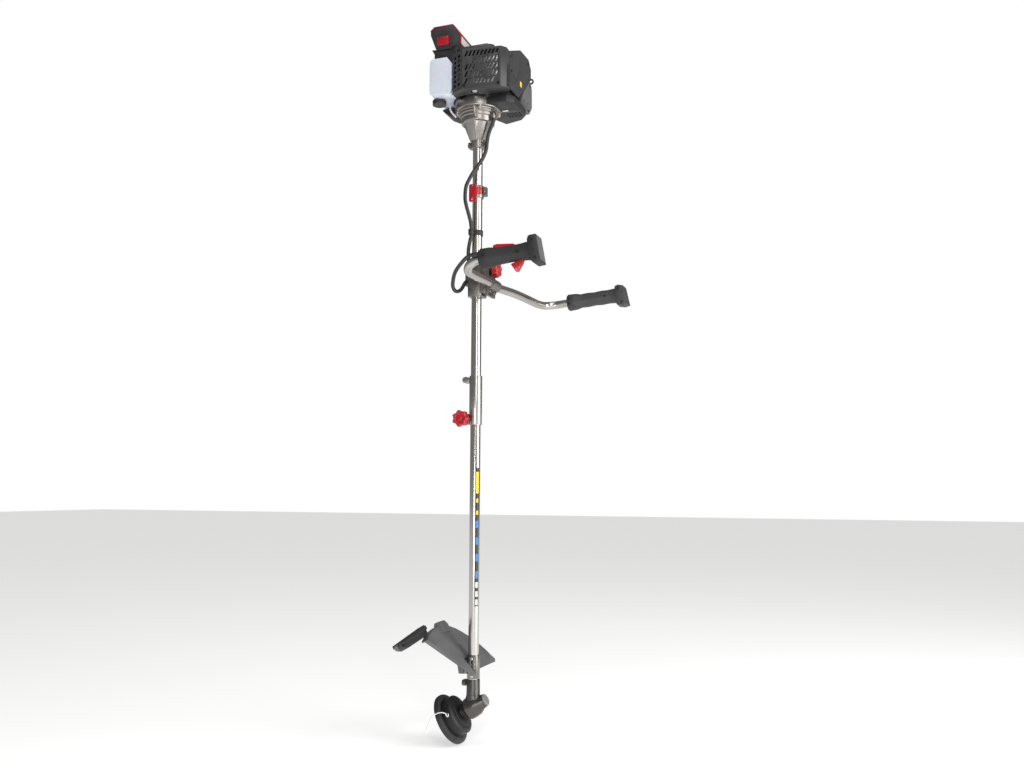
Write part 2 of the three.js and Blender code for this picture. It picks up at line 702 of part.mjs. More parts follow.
function rightGrip() {
  const body = ovalBody([
    [0, 0], [0, 22], [4, 25], [26, 24.5], [44, 21], [70, 20], [104, 20.5], [126, 23], [134, 27], [134, 0],
  ], 0.9);
  const end = prism([[128, -26], [136, -35], [154, -34], [148, 31], [132, 31], [126, 22]], 'y', -23, 23);
  const bore = join(rod(BAR_SEAT_R, 'x', -2, 104, 0, 0, 24), rod(14, 'x', -2, 10));
  const leverRoom = box(30, 92, -6, 6, 11, 30);
  const triggerRoom = box(72, 112, -6, 6, -36, -11);
  const switchRoom = box(120, 132, -5, 5, 26, 40);
  return cut(join(body, end), bore, leverRoom, triggerRoom, switchRoom);
}

function throttleTrigger() {
  const outline = [[76, -25], [88, -22], [104, -17], [109, -18], [106, -26], [93, -45], [87, -45], [79, -31]];
  const blade = prism(outline, 'y', -5, 5);
  return join(blade, rod(2, 'y', -5.6, 5.6, 106, -20, 10));
}

function lockoutLever() {
  const blade = prism([[33, 17.5], [90, 16], [90, 20.5], [86, 23], [44, 29], [36, 27]], 'y', -5, 5);
  return join(blade, rod(1.8, 'y', -5.6, 5.6, 88, 18.5, 10));
}

function stopSwitch() {
  return prism([[121, 27], [131, 27], [131, 33], [128, 36], [122, 35]], 'y', -4.5, 4.5);
}

// ---- Guard and head -----------------------------------------------------------------
// Drawn with the gear's centre at the origin and the output shaft along -Z. +X points
// away from the operator, and the guard spreads on the -X side.
const GUARD_LEFT = THREE.MathUtils.degToRad(68);
const GUARD_RIGHT = THREE.MathUtils.degToRad(27);
const GUARD_R = 210;
const GUARD_FRONT_X = -72;
const GUARD_WALL = 3;

// A shape given in the object's frame, turned into the head's frame.
function toHead(geometry) {
  return geometry.applyMatrix4(headMatrix.clone().invert());
}

// Height of the guard's roof at a radius and a turn from -X, both about the output shaft.
function roofHeight(radius, turn) {
  const farEnd = Math.max(0, -turn - 0.6);
  const ridge = Math.max(0, 1 - Math.abs(turn - 0.14) / 0.33) * radius * 0.022;
  return 51 - (radius - 84) * 0.28 + farEnd * 18 + ridge;
}

// The rim spreads a little towards the guard's far end.
function rimRadius(turn) {
  return GUARD_R + Math.max(0, -turn - 0.85) * 34;
}

// A closed sheet between two grids of points with the same rows and columns.
function sheet(upper, lower) {
  const rows = upper.length;
  const columns = upper[0].length;
  const at = (layer, row, column) => (layer * rows + row) * columns + column;
  const index = [];
  const quad = (a, b, c, d) => index.push(a, b, c, a, c, d);
  for (let i = 0; i + 1 < rows; i += 1) {
    for (let j = 0; j + 1 < columns; j += 1) {
      quad(at(0, i, j), at(0, i + 1, j), at(0, i + 1, j + 1), at(0, i, j + 1));
      quad(at(1, i, j), at(1, i, j + 1), at(1, i + 1, j + 1), at(1, i + 1, j));
    }
    const last = columns - 1;
    quad(at(0, i, 0), at(1, i, 0), at(1, i + 1, 0), at(0, i + 1, 0));
    quad(at(0, i, last), at(0, i + 1, last), at(1, i + 1, last), at(1, i, last));
  }
  for (let j = 0; j + 1 < columns; j += 1) {
    const last = rows - 1;
    quad(at(0, 0, j), at(0, 0, j + 1), at(1, 0, j + 1), at(1, 0, j));
    quad(at(0, last, j), at(1, last, j), at(1, last, j + 1), at(0, last, j + 1));
  }
  const geometry = new THREE.BufferGeometry();
  const vertices = [...upper.flat(), ...lower.flat()].flat();
  geometry.setAttribute('position', new THREE.Float32BufferAttribute(vertices, 3));
  geometry.setIndex(index);
  return geometry;
}

function guardRoof() {
  const turns = 14;
  const upper = [];
  const lower = [];
  for (let i = 0; i < turns; i += 1) {
    const turn = -GUARD_LEFT + ((GUARD_LEFT + GUARD_RIGHT) * i) / (turns - 1);
    const at = (radius, z) => [-Math.cos(turn) * radius, -Math.sin(turn) * radius, z];
    const rim = rimRadius(turn);
    const start = -GUARD_FRONT_X / Math.cos(Math.min(0, turn));
    const step = start + (rim - start) * 0.78;
    const stations = [start, start + (step - start) * 0.5, step, step + (rim - step) * 0.3, rim];
    const drops = [0, 0, 0, 3, 3];
    const top = stations.map((r, k) => at(r, roofHeight(r, turn) - drops[k]));
    const under = stations.map((r, k) => at(r, roofHeight(r, turn) - drops[k] - GUARD_WALL));
    const foot = roofHeight(rim, turn) - 18;
    upper.push([...top, at(rim + 3, foot)]);
    lower.push([...under.slice(0, 4), at(rim - GUARD_WALL, roofHeight(rim, turn) - 6.5), at(rim, foot)]);
  }
  return sheet(upper, lower);
}

// The edge wall on the operator's right.
function guardSide() {
  const inner = roofHeight(84, 0) - 1;
  const outer = roofHeight(GUARD_R, 0) - 4;
  const wall = [[-84, inner], [-GUARD_R, outer], [-GUARD_R - 2, outer - 11], [-84, inner - 5]];
  return prism(wall, 'y', -1.5, 1.5).rotateZ(GUARD_RIGHT - 0.008);
}

function guard() {
  const hump = prism([[-214, 2], [-221, 8], [-220, 19], [-208, 24], [-190, 24], [-190, 18]], 'y', -8, 30);
  const seat = [[-17.3, -1222], [-30, -1222], [-42, -1158], [-24, -1176], [-17.3, -1186]];
  const whole = join(guardRoof(), guardSide(), hump, toHead(prism(seat, 'y', -22, 22)));
  const tubeWay = rod(TUBE_R + 4, 'z', -1290, -1000);
  const bracketWay = box(-17.3, 12, -22, 22, -1237, -1174);
  return cut(whole, toHead(tubeWay), toHead(bracketWay));
}

function guardExtension() {
  const outline = [[-226, -66], [-200, -66], [-186, -190], [-191, -216], [-196, -222], [-204, -222]];
  const block = prism(outline, 'z', -12, 9);
  const lip = prism([[-223, -68], [-213, -68], [-197, -212], [-203, -212]], 'z', 8, 14);
  const slot = prism([[-207, -110], [-204, -110], [-197, -170], [-200, -170]], 'z', -14, -2);
  const guardWay = rod(GUARD_R + 4, 'z', -20, 20, 0, 0, 96);
  return cut(join(block, lip), guardWay, slot);
}

function lineCutter() {
  return prism([[-203, -222.3], [-190, -222.3], [-189, -240], [-194, -247], [-199, -240]], 'z', 2, 4);
}

function guardBracket() {
  const bottom = -1234;
  const top = -1178;
  const slots = [];
  for (const z of [-1190, -1214]) slots.push(prism(roundBox(0.4, 5.6, z - 7, z + 7, 2.4), 'y', -22, -16.2));
  const plate = prism(roundBox(-5, 11, bottom, top, 5), 'y', -19, -12.5);
  const pad = box(-16.8, -10, -20, 20, -1222, -1190);
  const body = join(ring(TUBE_SEAT_R, 16, bottom, top), plate, pad);
  return cut(body, rod(TUBE_SEAT_R, 'z', bottom - 5, top + 5, 0, 0, 24), ...slots);
}

function gearboxHousing() {
  const shell = turned([
    [0, 36], [15, 36], [17, 26], [24, 13], [26, -1], [26, -13], [20, -20], [20, -27], [0, -27],
  ], 20);
  const room = turned([
    [0, 27], [8, 27], [12, 22], [22.3, 8], [22.3, -13.5], [12, -13.5], [12, -24], [7.4, -24],
    [7.4, -30], [0, -30],
  ], 16);
  const capSeat = rod(12.3, 'z', 30, 40);
  const capWay = rod(5, 'z', 26, 32, 0, 0, 16);
  const neck = turned([[0, 2], [19, 2], [19, 20], [17, 28], [16.5, 66], [0, 66]], 20);
  const tubeSeat = rod(TUBE_SEAT_R, 'z', 40, 70, 0, 0, 24);
  const shaftWay = rod(5.5, 'z', 20, 42, 0, 0, 16);
  const pinionRoom = rod(15.6, 'z', 6, 24);
  const ear = prism(roundBox(-28, -14, 50, 64, 3), 'y', -7, 7);
  const screw = rod(5, 'y', -13, -6, -21, 57, 12);
  const slit = box(-30, -12, -1, 1, 47, 70);
  const vents = [];
  for (let i = 0; i < 3; i += 1) vents.push(box(18.2, 24, -9, 9, 11 + i * 4, 13 + i * 4));
  const inWorld = [neck, tubeSeat, shaftWay, pinionRoom, ear, screw, slit];
  for (const shape of inWorld) shape.translate(0, 0, GEAR_Z).applyMatrix4(headMatrix.clone().invert());
  const body = cut(join(shell, neck, ear, screw), room, capSeat, capWay, tubeSeat, shaftWay, pinionRoom);
  return cut(body, slit);
}

function gearboxCap() {
  return turned([[0, 31], [12, 31], [12, 36.3], [14.6, 36.3], [14.6, 39], [12.5, 41], [0, 41]], 28);
}

function outputShaft() {
  return turned([
    [0, 26], [3.8, 26], [3.8, -3.8], [11, -3.8], [20, -6.8], [20, -9], [11, -13], [7, -14], [7, -29],
    [14, -29], [14, -31], [5, -31.5], [5, -60], [0, -60],
  ], 18);
}

function headHousing() {
  const body = turned([
    [5.3, -31.8], [30, -31.8], [32, -34], [43, -36], [48, -39], [48, -61.5], [45, -61.5], [45, -42],
    [40, -39], [9, -39], [9, -58], [5.3, -58], [5.3, -31.8],
  ], 24);
  const bosses = [rod(5.5, 'y', -50, -44, -12, -48, 16), rod(5.5, 'y', 44, 50, 12, -48, 16)];
  const holes = [rod(3, 'y', -55, -30, -12, -48, 12), rod(3, 'y', 30, 55, 12, -48, 12)];
  return cut(join(body, ...bosses), ...holes);
}

function headBase() {
  return turned([
    [17, -62], [49, -62], [60, -63], [62.5, -65], [62.5, -73], [60, -75.5], [40, -77], [17, -77],
    [17, -62],
  ], 28);
}

function spool() {
  return turned([
    [10, -41], [37, -42.5], [37, -44], [20, -44.5], [20, -57.5], [37, -58], [37, -60], [10, -60],
    [10, -41],
  ], 20);
}

function bumpButton() {
  return turned([
    [0, -64.5], [16.5, -64.5], [16.5, -76], [15, -81], [10, -84.5], [0, -86],
  ], 20);
}

const CUTTING_LINE_ROUTE = [
  [-46, -52, -1318], [-50, -59, -1310], [-57, -65, -1308], [-66, -69, -1310], [-73, -74, -1315],
  [-79, -78, -1323], [-85, -81, -1338], [-90, -84, -1359],
];

// ---- Assembly -----------------------------------------------------------------------
part('upper_tube', upperTube(), COLOUR.steel, 0.25, 1);
part('lower_tube', lowerTube(), COLOUR.steel, 0.25, 1);
part('upper_drive_shaft', upperDriveShaft(), COLOUR.steel, 0.4, 1);
part('lower_drive_shaft', lowerDriveShaft(), COLOUR.steel, 0.4, 1);
part('shaft_bush', shaftBush(-300), COLOUR.brightSteel, 0.6, 0);
part('coupling_sleeve', couplingSleeve(), COLOUR.castGrey, 0.35, 1);
part('coupling_knob', couplingKnob(), COLOUR.red, 0.45, 0);

part('clutch_housing', clutchHousing(), COLOUR.castGrey, 0.4, 1);
part('clutch_drum', clutchDrum(), COLOUR.steel, 0.4, 1);
part('clutch_shoes', clutchShoes(), COLOUR.castGrey, 0.6, 1);
part('flywheel', flywheel(), COLOUR.castGrey, 0.5, 1);
part('fan_housing', fanHousing(), COLOUR.black, 0.6, 0);
part('crankshaft', crankshaft(), COLOUR.steel, 0.3, 1);
part('crankcase', crankcase(), COLOUR.castGrey, 0.5, 1);
part('cylinder', cylinder(), COLOUR.castGrey, 0.5, 1);
part('piston', piston(), COLOUR.steel, 0.4, 1);
part('spark_plug', sparkPlug(), COLOUR.black, 0.6, 0);
part('muffler', muffler(), COLOUR.brightSteel, 0.25, 1);
part('muffler_cover', mufflerCover(), COLOUR.darkGrey, 0.55, 0);
part('cylinder_cover', cylinderCover(), COLOUR.darkGrey, 0.55, 0);
part('carburettor', carburettor(), COLOUR.castGrey, 0.5, 1);
part('air_filter', airFilter(), COLOUR.black, 0.9, 0);
part('air_filter_cover', airFilterCover(), COLOUR.grey, 0.55, 0);
part('air_filter_knob', airFilterKnob(), COLOUR.red, 0.45, 0);
part('choke_lever', chokeLever(), COLOUR.black, 0.5, 0);
part('fuel_tank', fuelTank(), COLOUR.tank, 0.4, 0);
part('fuel_cap', fuelCap(), COLOUR.black, 0.55, 0);
part('fuel_line', fuelLine(), COLOUR.tank, 0.4, 0);
part('tank_stand', tankStand(), COLOUR.black, 0.6, 0);
part('starter_housing', starterHousing(), COLOUR.darkGrey, 0.6, 0);
part('starter_motor', starterMotor(), COLOUR.steel, 0.4, 1);
part('battery_holder', batteryHolder(), COLOUR.black, 0.6, 0);
part('battery_pack', batteryPack(), COLOUR.darkGrey, 0.55, 0);
part('battery_button', batteryButton(), COLOUR.red, 0.5, 0);

part('harness_clamp', harnessClamp(), COLOUR.castGrey, 0.4, 1);
part('harness_tab', harnessTab(), COLOUR.red, 0.5, 0);
part('cable_clip', cableClip(), COLOUR.darkGrey, 0.6, 0);
part('engine_loom', bent(ENGINE_LOOM_ROUTE, LOOM_R, 10, 36), COLOUR.black, 0.6, 0);
part('grip_loom', bent(GRIP_LOOM_ROUTE, LOOM_R, 10, 30), COLOUR.black, 0.6, 0);

part('handlebar_clamp', handlebarClamp(), COLOUR.castGrey, 0.45, 1);
part('handlebar_cap', handlebarCap(), COLOUR.castGrey, 0.45, 1);
part('clamp_knob', clampKnob(), COLOUR.red, 0.45, 0);
part('handlebar', handlebar(), COLOUR.steel, 0.3, 1);

function gripHolder({ x, y, z }) {
  const holder = new THREE.Group();
  holder.position.set(x, y, z);
  holder.rotation.y = -GRIP_TILT;
  model.add(holder);
  return holder;
}
const leftHolder = gripHolder(LEFT_GRIP);
const rightHolder = gripHolder(RIGHT_GRIP);
part('left_grip', leftGrip(), COLOUR.black, 0.75, 0, leftHolder);
part('right_grip', rightGrip(), COLOUR.black, 0.7, 0, rightHolder);
part('throttle_trigger', throttleTrigger(), COLOUR.red, 0.5, 0, rightHolder);
part('lockout_lever', lockoutLever(), COLOUR.red, 0.5, 0, rightHolder);
part('stop_switch', stopSwitch(), COLOUR.red, 0.5, 0, rightHolder);

const head = new THREE.Group();
head.applyMatrix4(headMatrix);
model.add(head);
part('guard_bracket', guardBracket(), COLOUR.steel, 0.4, 1);
part('guard', guard(), COLOUR.darkGrey, 0.6, 0, head);
part('guard_extension', guardExtension(), COLOUR.black, 0.6, 0, head);
part('line_cutter', lineCutter(), COLOUR.steel, 0.4, 1, head);
part('gearbox_housing', gearboxHousing(), COLOUR.castGrey, 0.5, 1, head);
part('gearbox_cap', gearboxCap(), COLOUR.grey, 0.5, 0, head);
part('output_shaft', outputShaft(), COLOUR.steel, 0.4, 1, head);
part('head_housing', headHousing(), COLOUR.darkGrey, 0.55, 0, head);
part('head_base', headBase(), COLOUR.black, 0.6, 0, head);
part('spool', spool(), COLOUR.black, 0.6, 0, head);
part('bump_button', bumpButton(), COLOUR.black, 0.6, 0, head);
part('cutting_line', bent(CUTTING_LINE_ROUTE, 1.25, 8, 22), COLOUR.line, 0.4, 0);

export default model;
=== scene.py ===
"""Looks of a petrol string trimmer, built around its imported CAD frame. Metres, in the frame's axes.

+Z runs up the shaft, +X is the side that faces up in use, -Y is the operator's right.
"""

import json
import math

import bmesh
import bpy
from mathutils import Matrix, Vector


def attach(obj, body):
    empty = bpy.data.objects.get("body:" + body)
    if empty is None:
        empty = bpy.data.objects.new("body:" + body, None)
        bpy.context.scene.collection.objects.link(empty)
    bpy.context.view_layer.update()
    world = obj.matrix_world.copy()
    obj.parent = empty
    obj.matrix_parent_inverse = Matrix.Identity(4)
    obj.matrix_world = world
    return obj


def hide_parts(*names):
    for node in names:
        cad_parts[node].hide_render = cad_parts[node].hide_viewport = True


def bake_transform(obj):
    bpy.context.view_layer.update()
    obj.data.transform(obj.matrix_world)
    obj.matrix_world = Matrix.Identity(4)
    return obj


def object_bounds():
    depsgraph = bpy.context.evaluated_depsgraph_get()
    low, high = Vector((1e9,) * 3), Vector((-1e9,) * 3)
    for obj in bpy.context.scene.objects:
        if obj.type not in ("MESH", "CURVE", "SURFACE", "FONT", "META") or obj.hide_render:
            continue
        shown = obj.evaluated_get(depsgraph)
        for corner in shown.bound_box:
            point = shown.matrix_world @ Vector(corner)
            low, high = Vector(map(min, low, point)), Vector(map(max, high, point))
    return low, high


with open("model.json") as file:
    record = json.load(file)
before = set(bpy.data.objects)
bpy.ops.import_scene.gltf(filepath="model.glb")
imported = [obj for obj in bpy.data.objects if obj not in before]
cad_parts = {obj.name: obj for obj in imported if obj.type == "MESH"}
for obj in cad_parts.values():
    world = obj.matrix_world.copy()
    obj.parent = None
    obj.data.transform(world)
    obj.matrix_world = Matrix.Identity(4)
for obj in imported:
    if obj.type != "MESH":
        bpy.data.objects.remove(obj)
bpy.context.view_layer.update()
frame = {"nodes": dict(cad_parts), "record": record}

BODY = {
    node: body
    for body, nodes in frame["record"]["behaviour"]["bodies"].items()
    for node in nodes
}
SLOT = {entry["node"]: entry["material_slot"] for entry in frame["record"]["subparts"]}
MM = 0.001

# Driving sizes, in millimetres, as in the CAD.
TUBE_R = 13
TUBE_WALL = 1.5
BAR_R = 11
LOOM_R = 4.8
GEAR_Z = -1303
HEAD_ANGLE = math.radians(60)
GRIP_TILT = math.radians(5)
RIGHT_GRIP = (82, -180, -228)
LEFT_GRIP = (150, 330, -240)
BAR_Z = -249
WRAP_PITCH = 9
WRAP_GROOVE = 0.16
FUEL_LINE_R = 2.4
CUTTING_LINE_R = 1.25
DRUM_WAY_R = 65.5
OUTLET_R = 10
COVER_X = 106.9
BATTERY_TOP = 450.05

HEAD_FRAME = Matrix.Translation((0, 0, GEAR_Z * MM)) @ Matrix.Rotation(HEAD_ANGLE, 4, "Y")


def grip_frame(place):
    """The matrix from a grip's own axes, +X along the grip, to the frame."""
    spot = Vector(place) * MM
    return Matrix.Translation(spot) @ Matrix.Rotation(-GRIP_TILT, 4, "Y")


RIGHT_FRAME = grip_frame(RIGHT_GRIP)
LEFT_FRAME = grip_frame(LEFT_GRIP)


# ---- Camera ---------------------------------------------------------------------------
SENSOR = 36
LENS = 32.6953
CAMERA_TURN = math.radians(22)
CAMERA_DISTANCE = 2.365
CAMERA_HEIGHT = -0.773
AIM_OFFSET = math.radians(2.24)
CAMERA_PITCH = math.radians(6.5)
CAMERA_ROLL = math.radians(0.25)


def add_camera():
    """The photograph's view: low, on the operator's right, looking slightly up."""
    turn = CAMERA_TURN
    aim = turn - AIM_OFFSET
    pitch = CAMERA_PITCH
    roll = CAMERA_ROLL
    flat = Vector((-math.sin(aim), math.cos(aim), 0))
    side = Vector((math.cos(aim), math.sin(aim), 0))
    forward = flat * math.cos(pitch) + Vector((0, 0, math.sin(pitch)))
    above = -flat * math.sin(pitch) + Vector((0, 0, math.cos(pitch)))
    right = side * math.cos(roll) + above * math.sin(roll)
    up = above * math.cos(roll) - side * math.sin(roll)
    data = bpy.data.cameras.new("camera")
    data.sensor_width = SENSOR
    data.lens = LENS
    data.clip_end = 60
    camera = bpy.data.objects.new("camera", data)
    place = Matrix((right, up, -forward)).transposed().to_4x4()
    spot = Vector((math.sin(turn), -math.cos(turn), 0)) * CAMERA_DISTANCE
    place.translation = spot + Vector((0, 0, CAMERA_HEIGHT))
    camera.matrix_world = place
    bpy.context.scene.collection.objects.link(camera)
    bpy.context.scene.camera = camera


add_camera()


# ---- Mesh helpers ---------------------------------------------------------------------
def new_object(name, mesh):
    thing = bpy.data.objects.new(name, mesh)
    bpy.context.scene.collection.objects.link(thing)
    return thing


def settle(thing, body, slot, material, *nodes, smooth=35):
    """Shades a piece, gives it its material and body, and hides the CAD nodes that it stands for."""
    mesh = thing.data
    mesh.shade_smooth()
    mesh.set_sharp_from_angle(angle=math.radians(smooth))
    mesh.materials.clear()
    mesh.materials.append(material)
    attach(thing, body)
    if nodes:
        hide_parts(*nodes)


def from_bmesh(name, bm):
    bmesh.ops.recalc_face_normals(bm, faces=bm.faces[:])
    mesh = bpy.data.meshes.new(name)
    bm.to_mesh(mesh)
    bm.free()
    return new_object(name, mesh)


def add_grid(bm, rings, cyclic=False):
    """Joins rings of points into a skin: closed at both ends, or last to first if cyclic."""
    rows = [[bm.verts.new(point) for point in ring] for ring in rings]
    count = len(rows[0])
    spans = list(zip(rows, rows[1:]))
    if cyclic:
        spans.append((rows[-1], rows[0]))
    for low, high in spans:
        for i in range(count):
            j = (i + 1) % count
            bm.faces.new((low[i], low[j], high[j], high[i]))
    if not cyclic:
        bm.faces.new(rows[0][::-1])
        bm.faces.new(rows[-1])


def add_turned(bm, profile, place=Matrix(), sides=64, shape=None):
    """A turned skin about +Z from (radius, z) points; shape(turn, radius, z) may change a radius."""
    rings = []
    for radius, z in profile:
        ring = []
        for i in range(sides):
            turn = 2 * math.pi * i / sides
            r = shape(turn, radius, z) if shape else radius
            ring.append(place @ Vector((r * math.cos(turn), r * math.sin(turn), z)))
        rings.append(ring)
    hollow = profile[0] == profile[-1]
    add_grid(bm, rings[:-1] if hollow else rings, cyclic=hollow)


def add_prism(bm, outline, axis, low, high):
    """A prism in millimetres along an axis; the outline is given on the other two axes, in order."""
    place = {"x": (2, 0, 1), "y": (0, 2, 1), "z": (0, 1, 2)}[axis]
    rings = []
    for end in (low, high):
        rings.append([Vector([(a, b, end)[k] for k in place]) * MM for a, b in outline])
    add_grid(bm, rings)


def axis_matrix(spot, axis):
    """From a piece drawn along +Z in millimetres to the frame in metres, at a spot in millimetres."""
    turn = Vector((0, 0, 1)).rotation_difference(Vector(axis)).to_matrix().to_4x4()
    return Matrix.Translation(Vector(spot) * MM) @ turn @ Matrix.Scale(MM, 4)


def scaled(place):
    """From millimetres in a place's own axes to the frame."""
    return place @ Matrix.Scale(MM, 4)


def add_block(bm, low, high, place=Matrix.Scale(MM, 4), edge=0.8):
    """A block with rounded edges between two corners, in millimetres."""
    part = bmesh.new()
    bmesh.ops.create_cube(part, size=1)
    size = Vector(high) - Vector(low)
    middle = (Vector(high) + Vector(low)) / 2
    for vert in part.verts:
        vert.co = Vector((vert.co.x * size.x, vert.co.y * size.y, vert.co.z * size.z)) + middle
    bmesh.ops.bevel(
        part, geom=part.edges[:], offset=min(edge, min(size) * 0.45), segments=2,
        profile=0.5, affect="EDGES",
    )
    merge(bm, part, place)


def merge(bm, part, place):
    """Adds a second bmesh to the first, through a matrix."""
    mesh = bpy.data.meshes.new("merge")
    part.to_mesh(mesh)
    part.free()
    mesh.transform(place)
    bm.from_mesh(mesh)
    bpy.data.meshes.remove(mesh)


def smooth_path(points, step):
    """Points every few millimetres along a centripetal Catmull-Rom curve through the route's points."""
    spots = [Vector(p) for p in points]
    first = spots[0] * 2 - spots[1]
    last = spots[-1] * 2 - spots[-2]
    spots = [first, *spots, last]
    path = []
    for a, b, c, d in zip(spots, spots[1:], spots[2:], spots[3:]):
        t1 = (b - a).length ** 0.5
        t2 = t1 + (c - b).length ** 0.5
        t3 = t2 + (d - c).length ** 0.5
        count = max(1, round((c - b).length / step))
        for i in range(count):
            t = t1 + (t2 - t1) * i / count
            a1 = a * ((t1 - t) / t1) + b * (t / t1)
            a2 = b * ((t2 - t) / (t2 - t1)) + c * ((t - t1) / (t2 - t1))
            a3 = c * ((t3 - t) / (t3 - t2)) + d * ((t - t2) / (t3 - t2))
            b1 = a1 * ((t2 - t) / t2) + a2 * (t / t2)
            b2 = a2 * ((t3 - t) / (t3 - t1)) + a3 * ((t - t1) / (t3 - t1))
            path.append(b1 * ((t2 - t) / (t2 - t1)) + b2 * ((t - t1) / (t2 - t1)))
    path.append(spots[-2])
    return path


def add_tube(bm, path, radius, sides=24, swell=None):
    """A tube along a path in millimetres; swell(turn, distance) multiplies the radius."""
    rings = []
    side = None
    distance = 0
    for i, spot in enumerate(path):
        ahead = path[min(i + 1, len(path) - 1)] - path[max(i - 1, 0)]
        ahead.normalize()
        if side is None:
            side = ahead.orthogonal().normalized()
        side = (side - ahead * side.dot(ahead)).normalized()
        other = ahead.cross(side)
        if i:
            distance += (spot - path[i - 1]).length
        ring = []
        for k in range(sides):
            turn = 2 * math.pi * k / sides
            r = radius * (swell(turn, distance) if swell else 1)
            ring.append((spot + side * (r * math.cos(turn)) + other * (r * math.sin(turn))) * MM)
        rings.append(ring)
    add_grid(bm, rings)


# ---- Materials ------------------------------------------------------------------------
NOISE_LOW = 0.3
NOISE_HIGH = 0.7
FINE_SHARE = 0.35


def add_node(tree, kind, **values):
    node = tree.nodes.new(kind)
    for key, value in values.items():
        if key in node.inputs:
            node.inputs[key].default_value = value
        else:
            setattr(node, key, value)
    return node


def noise(tree, coordinates, scale, detail=4, stretch=(1, 1, 1)):
    """A noise pattern in object space; stretch squeezes it along an axis."""
    mapping = add_node(tree, "ShaderNodeMapping", Scale=stretch)
    tree.links.new(coordinates, mapping.inputs["Vector"])
    texture = add_node(tree, "ShaderNodeTexNoise", Scale=scale, Detail=detail)
    tree.links.new(mapping.outputs["Vector"], texture.inputs["Vector"])
    return texture.outputs["Fac"]


def spread(tree, source, low, high):
    """Maps a noise value to a range."""
    node = add_node(tree, "ShaderNodeMapRange")
    node.inputs["From Min"].default_value = NOISE_LOW
    node.inputs["From Max"].default_value = NOISE_HIGH
    node.inputs["To Min"].default_value = low
    node.inputs["To Max"].default_value = high
    tree.links.new(source, node.inputs["Value"])
    return node.outputs["Result"]


def surface(name, colour, rough, metal=0.0, shade=0.15, grain=1800, bump=0.08, stretch=(1, 1, 1),
            blotch=40, rough_spread=0.08, cells=None, **socket):
    """A surface with fine grain, broad shade changes and uneven gloss."""
    material = bpy.data.materials.new(name)
    material.use_nodes = True
    tree = material.node_tree
    shader = tree.nodes["Principled BSDF"]
    shader.inputs["Metallic"].default_value = metal
    for key, value in socket.items():
        shader.inputs[key.replace("_", " ")].default_value = value
    place = add_node(tree, "ShaderNodeTexCoord").outputs["Object"]
    fine = noise(tree, place, grain, 3, stretch)
    broad = noise(tree, place, blotch, 5, stretch)
    mix = add_node(tree, "ShaderNodeMix", data_type="RGBA")
    dark = [c * (1 - shade) for c in colour]
    light = [min(1, c * (1 + shade)) for c in colour]
    mix.inputs["A"].default_value = (*dark, 1)
    mix.inputs["B"].default_value = (*light, 1)
    blend = add_node(tree, "ShaderNodeMath", operation="MULTIPLY_ADD")
    blend.inputs[1].default_value = FINE_SHARE
    tree.links.new(fine, blend.inputs[0])
    tree.links.new(spread(tree, broad, 0.0, 1 - FINE_SHARE), blend.inputs[2])
    tree.links.new(blend.outputs[0], mix.inputs["Factor"])
    tree.links.new(mix.outputs["Result"], shader.inputs["Base Color"])
    gloss = spread(tree, broad, max(0.02, rough - rough_spread), min(1, rough + rough_spread))
    tree.links.new(gloss, shader.inputs["Roughness"])
    relief = add_node(tree, "ShaderNodeBump", Strength=bump, Distance=0.0004)
    tree.links.new(fine, relief.inputs["Height"])
    normal = relief.outputs["Normal"]
    if cells:
        texture = add_node(tree, "ShaderNodeTexVoronoi", Scale=cells)
        tree.links.new(place, texture.inputs["Vector"])
        leather = add_node(tree, "ShaderNodeBump", Strength=0.35, Distance=0.0006)
        tree.links.new(texture.outputs["Distance"], leather.inputs["Height"])
        tree.links.new(normal, leather.inputs["Normal"])
        normal = leather.outputs["Normal"]
    tree.links.new(normal, shader.inputs["Normal"])
    return material


TUBE = surface("polished_tube", (0.56, 0.53, 0.50), 0.2, 1.0, 0.07, 900, 0.05, (1, 1, 0.02), 60, 0.06)
BAR_STEEL = surface("polished_bar", (0.50, 0.48, 0.46), 0.17, 1.0, 0.07, 900, 0.05, (1, 0.05, 1), 60, 0.06)
STEEL = surface("machined_steel", (0.55, 0.54, 0.52), 0.3, 1.0, 0.1, 1500, 0.08)
BOLT = surface("bolt_steel", (0.62, 0.61, 0.6), 0.28, 1.0, 0.12, 1500, 0.06)
DARK_BOLT = surface("black_bolt", (0.03, 0.03, 0.032), 0.35, 0.9, 0.2, 1500, 0.06)
BRIGHT = surface("muffler_steel", (0.92, 0.91, 0.89), 0.4, 1.0, 0.14, 700, 0.08, blotch=25)
CAST = surface("cast_aluminium", (0.29, 0.27, 0.25), 0.31, 1.0, 0.16, 1400, 0.25)
CLAMP_CAST = surface("clamp_casting", (0.24, 0.225, 0.21), 0.33, 1.0, 0.16, 1400, 0.3)
SLEEVE = surface("satin_sleeve", (0.40, 0.385, 0.37), 0.33, 0.95, 0.08, 1600, 0.12, (1, 1, 0.05))
GEAR_CAST = surface("dark_casting", (0.10, 0.093, 0.088), 0.3, 0.8, 0.2, 1300, 0.3)
BLACK = surface("black_plastic", (0.016, 0.016, 0.018), 0.48, 0, 0.25, 2200, 0.22)
HEAD_BLACK = surface("head_plastic", (0.008, 0.008, 0.009), 0.5, 0, 0.25, 2200, 0.15)
DARK = surface("charcoal_plastic", (0.024, 0.024, 0.026), 0.46, 0, 0.2, 2200, 0.22)
COVER = surface("cover_plastic", (0.034, 0.034, 0.036), 0.40, 0, 0.22, 2200, 0.2)
GUARD = surface("guard_plastic", (0.125, 0.125, 0.127), 0.42, 0, 0.2, 1500, 0.2, blotch=18)
FILTER_COVER = surface("filter_cover_plastic", (0.11, 0.11, 0.112), 0.42, 0, 0.18, 2200, 0.2)
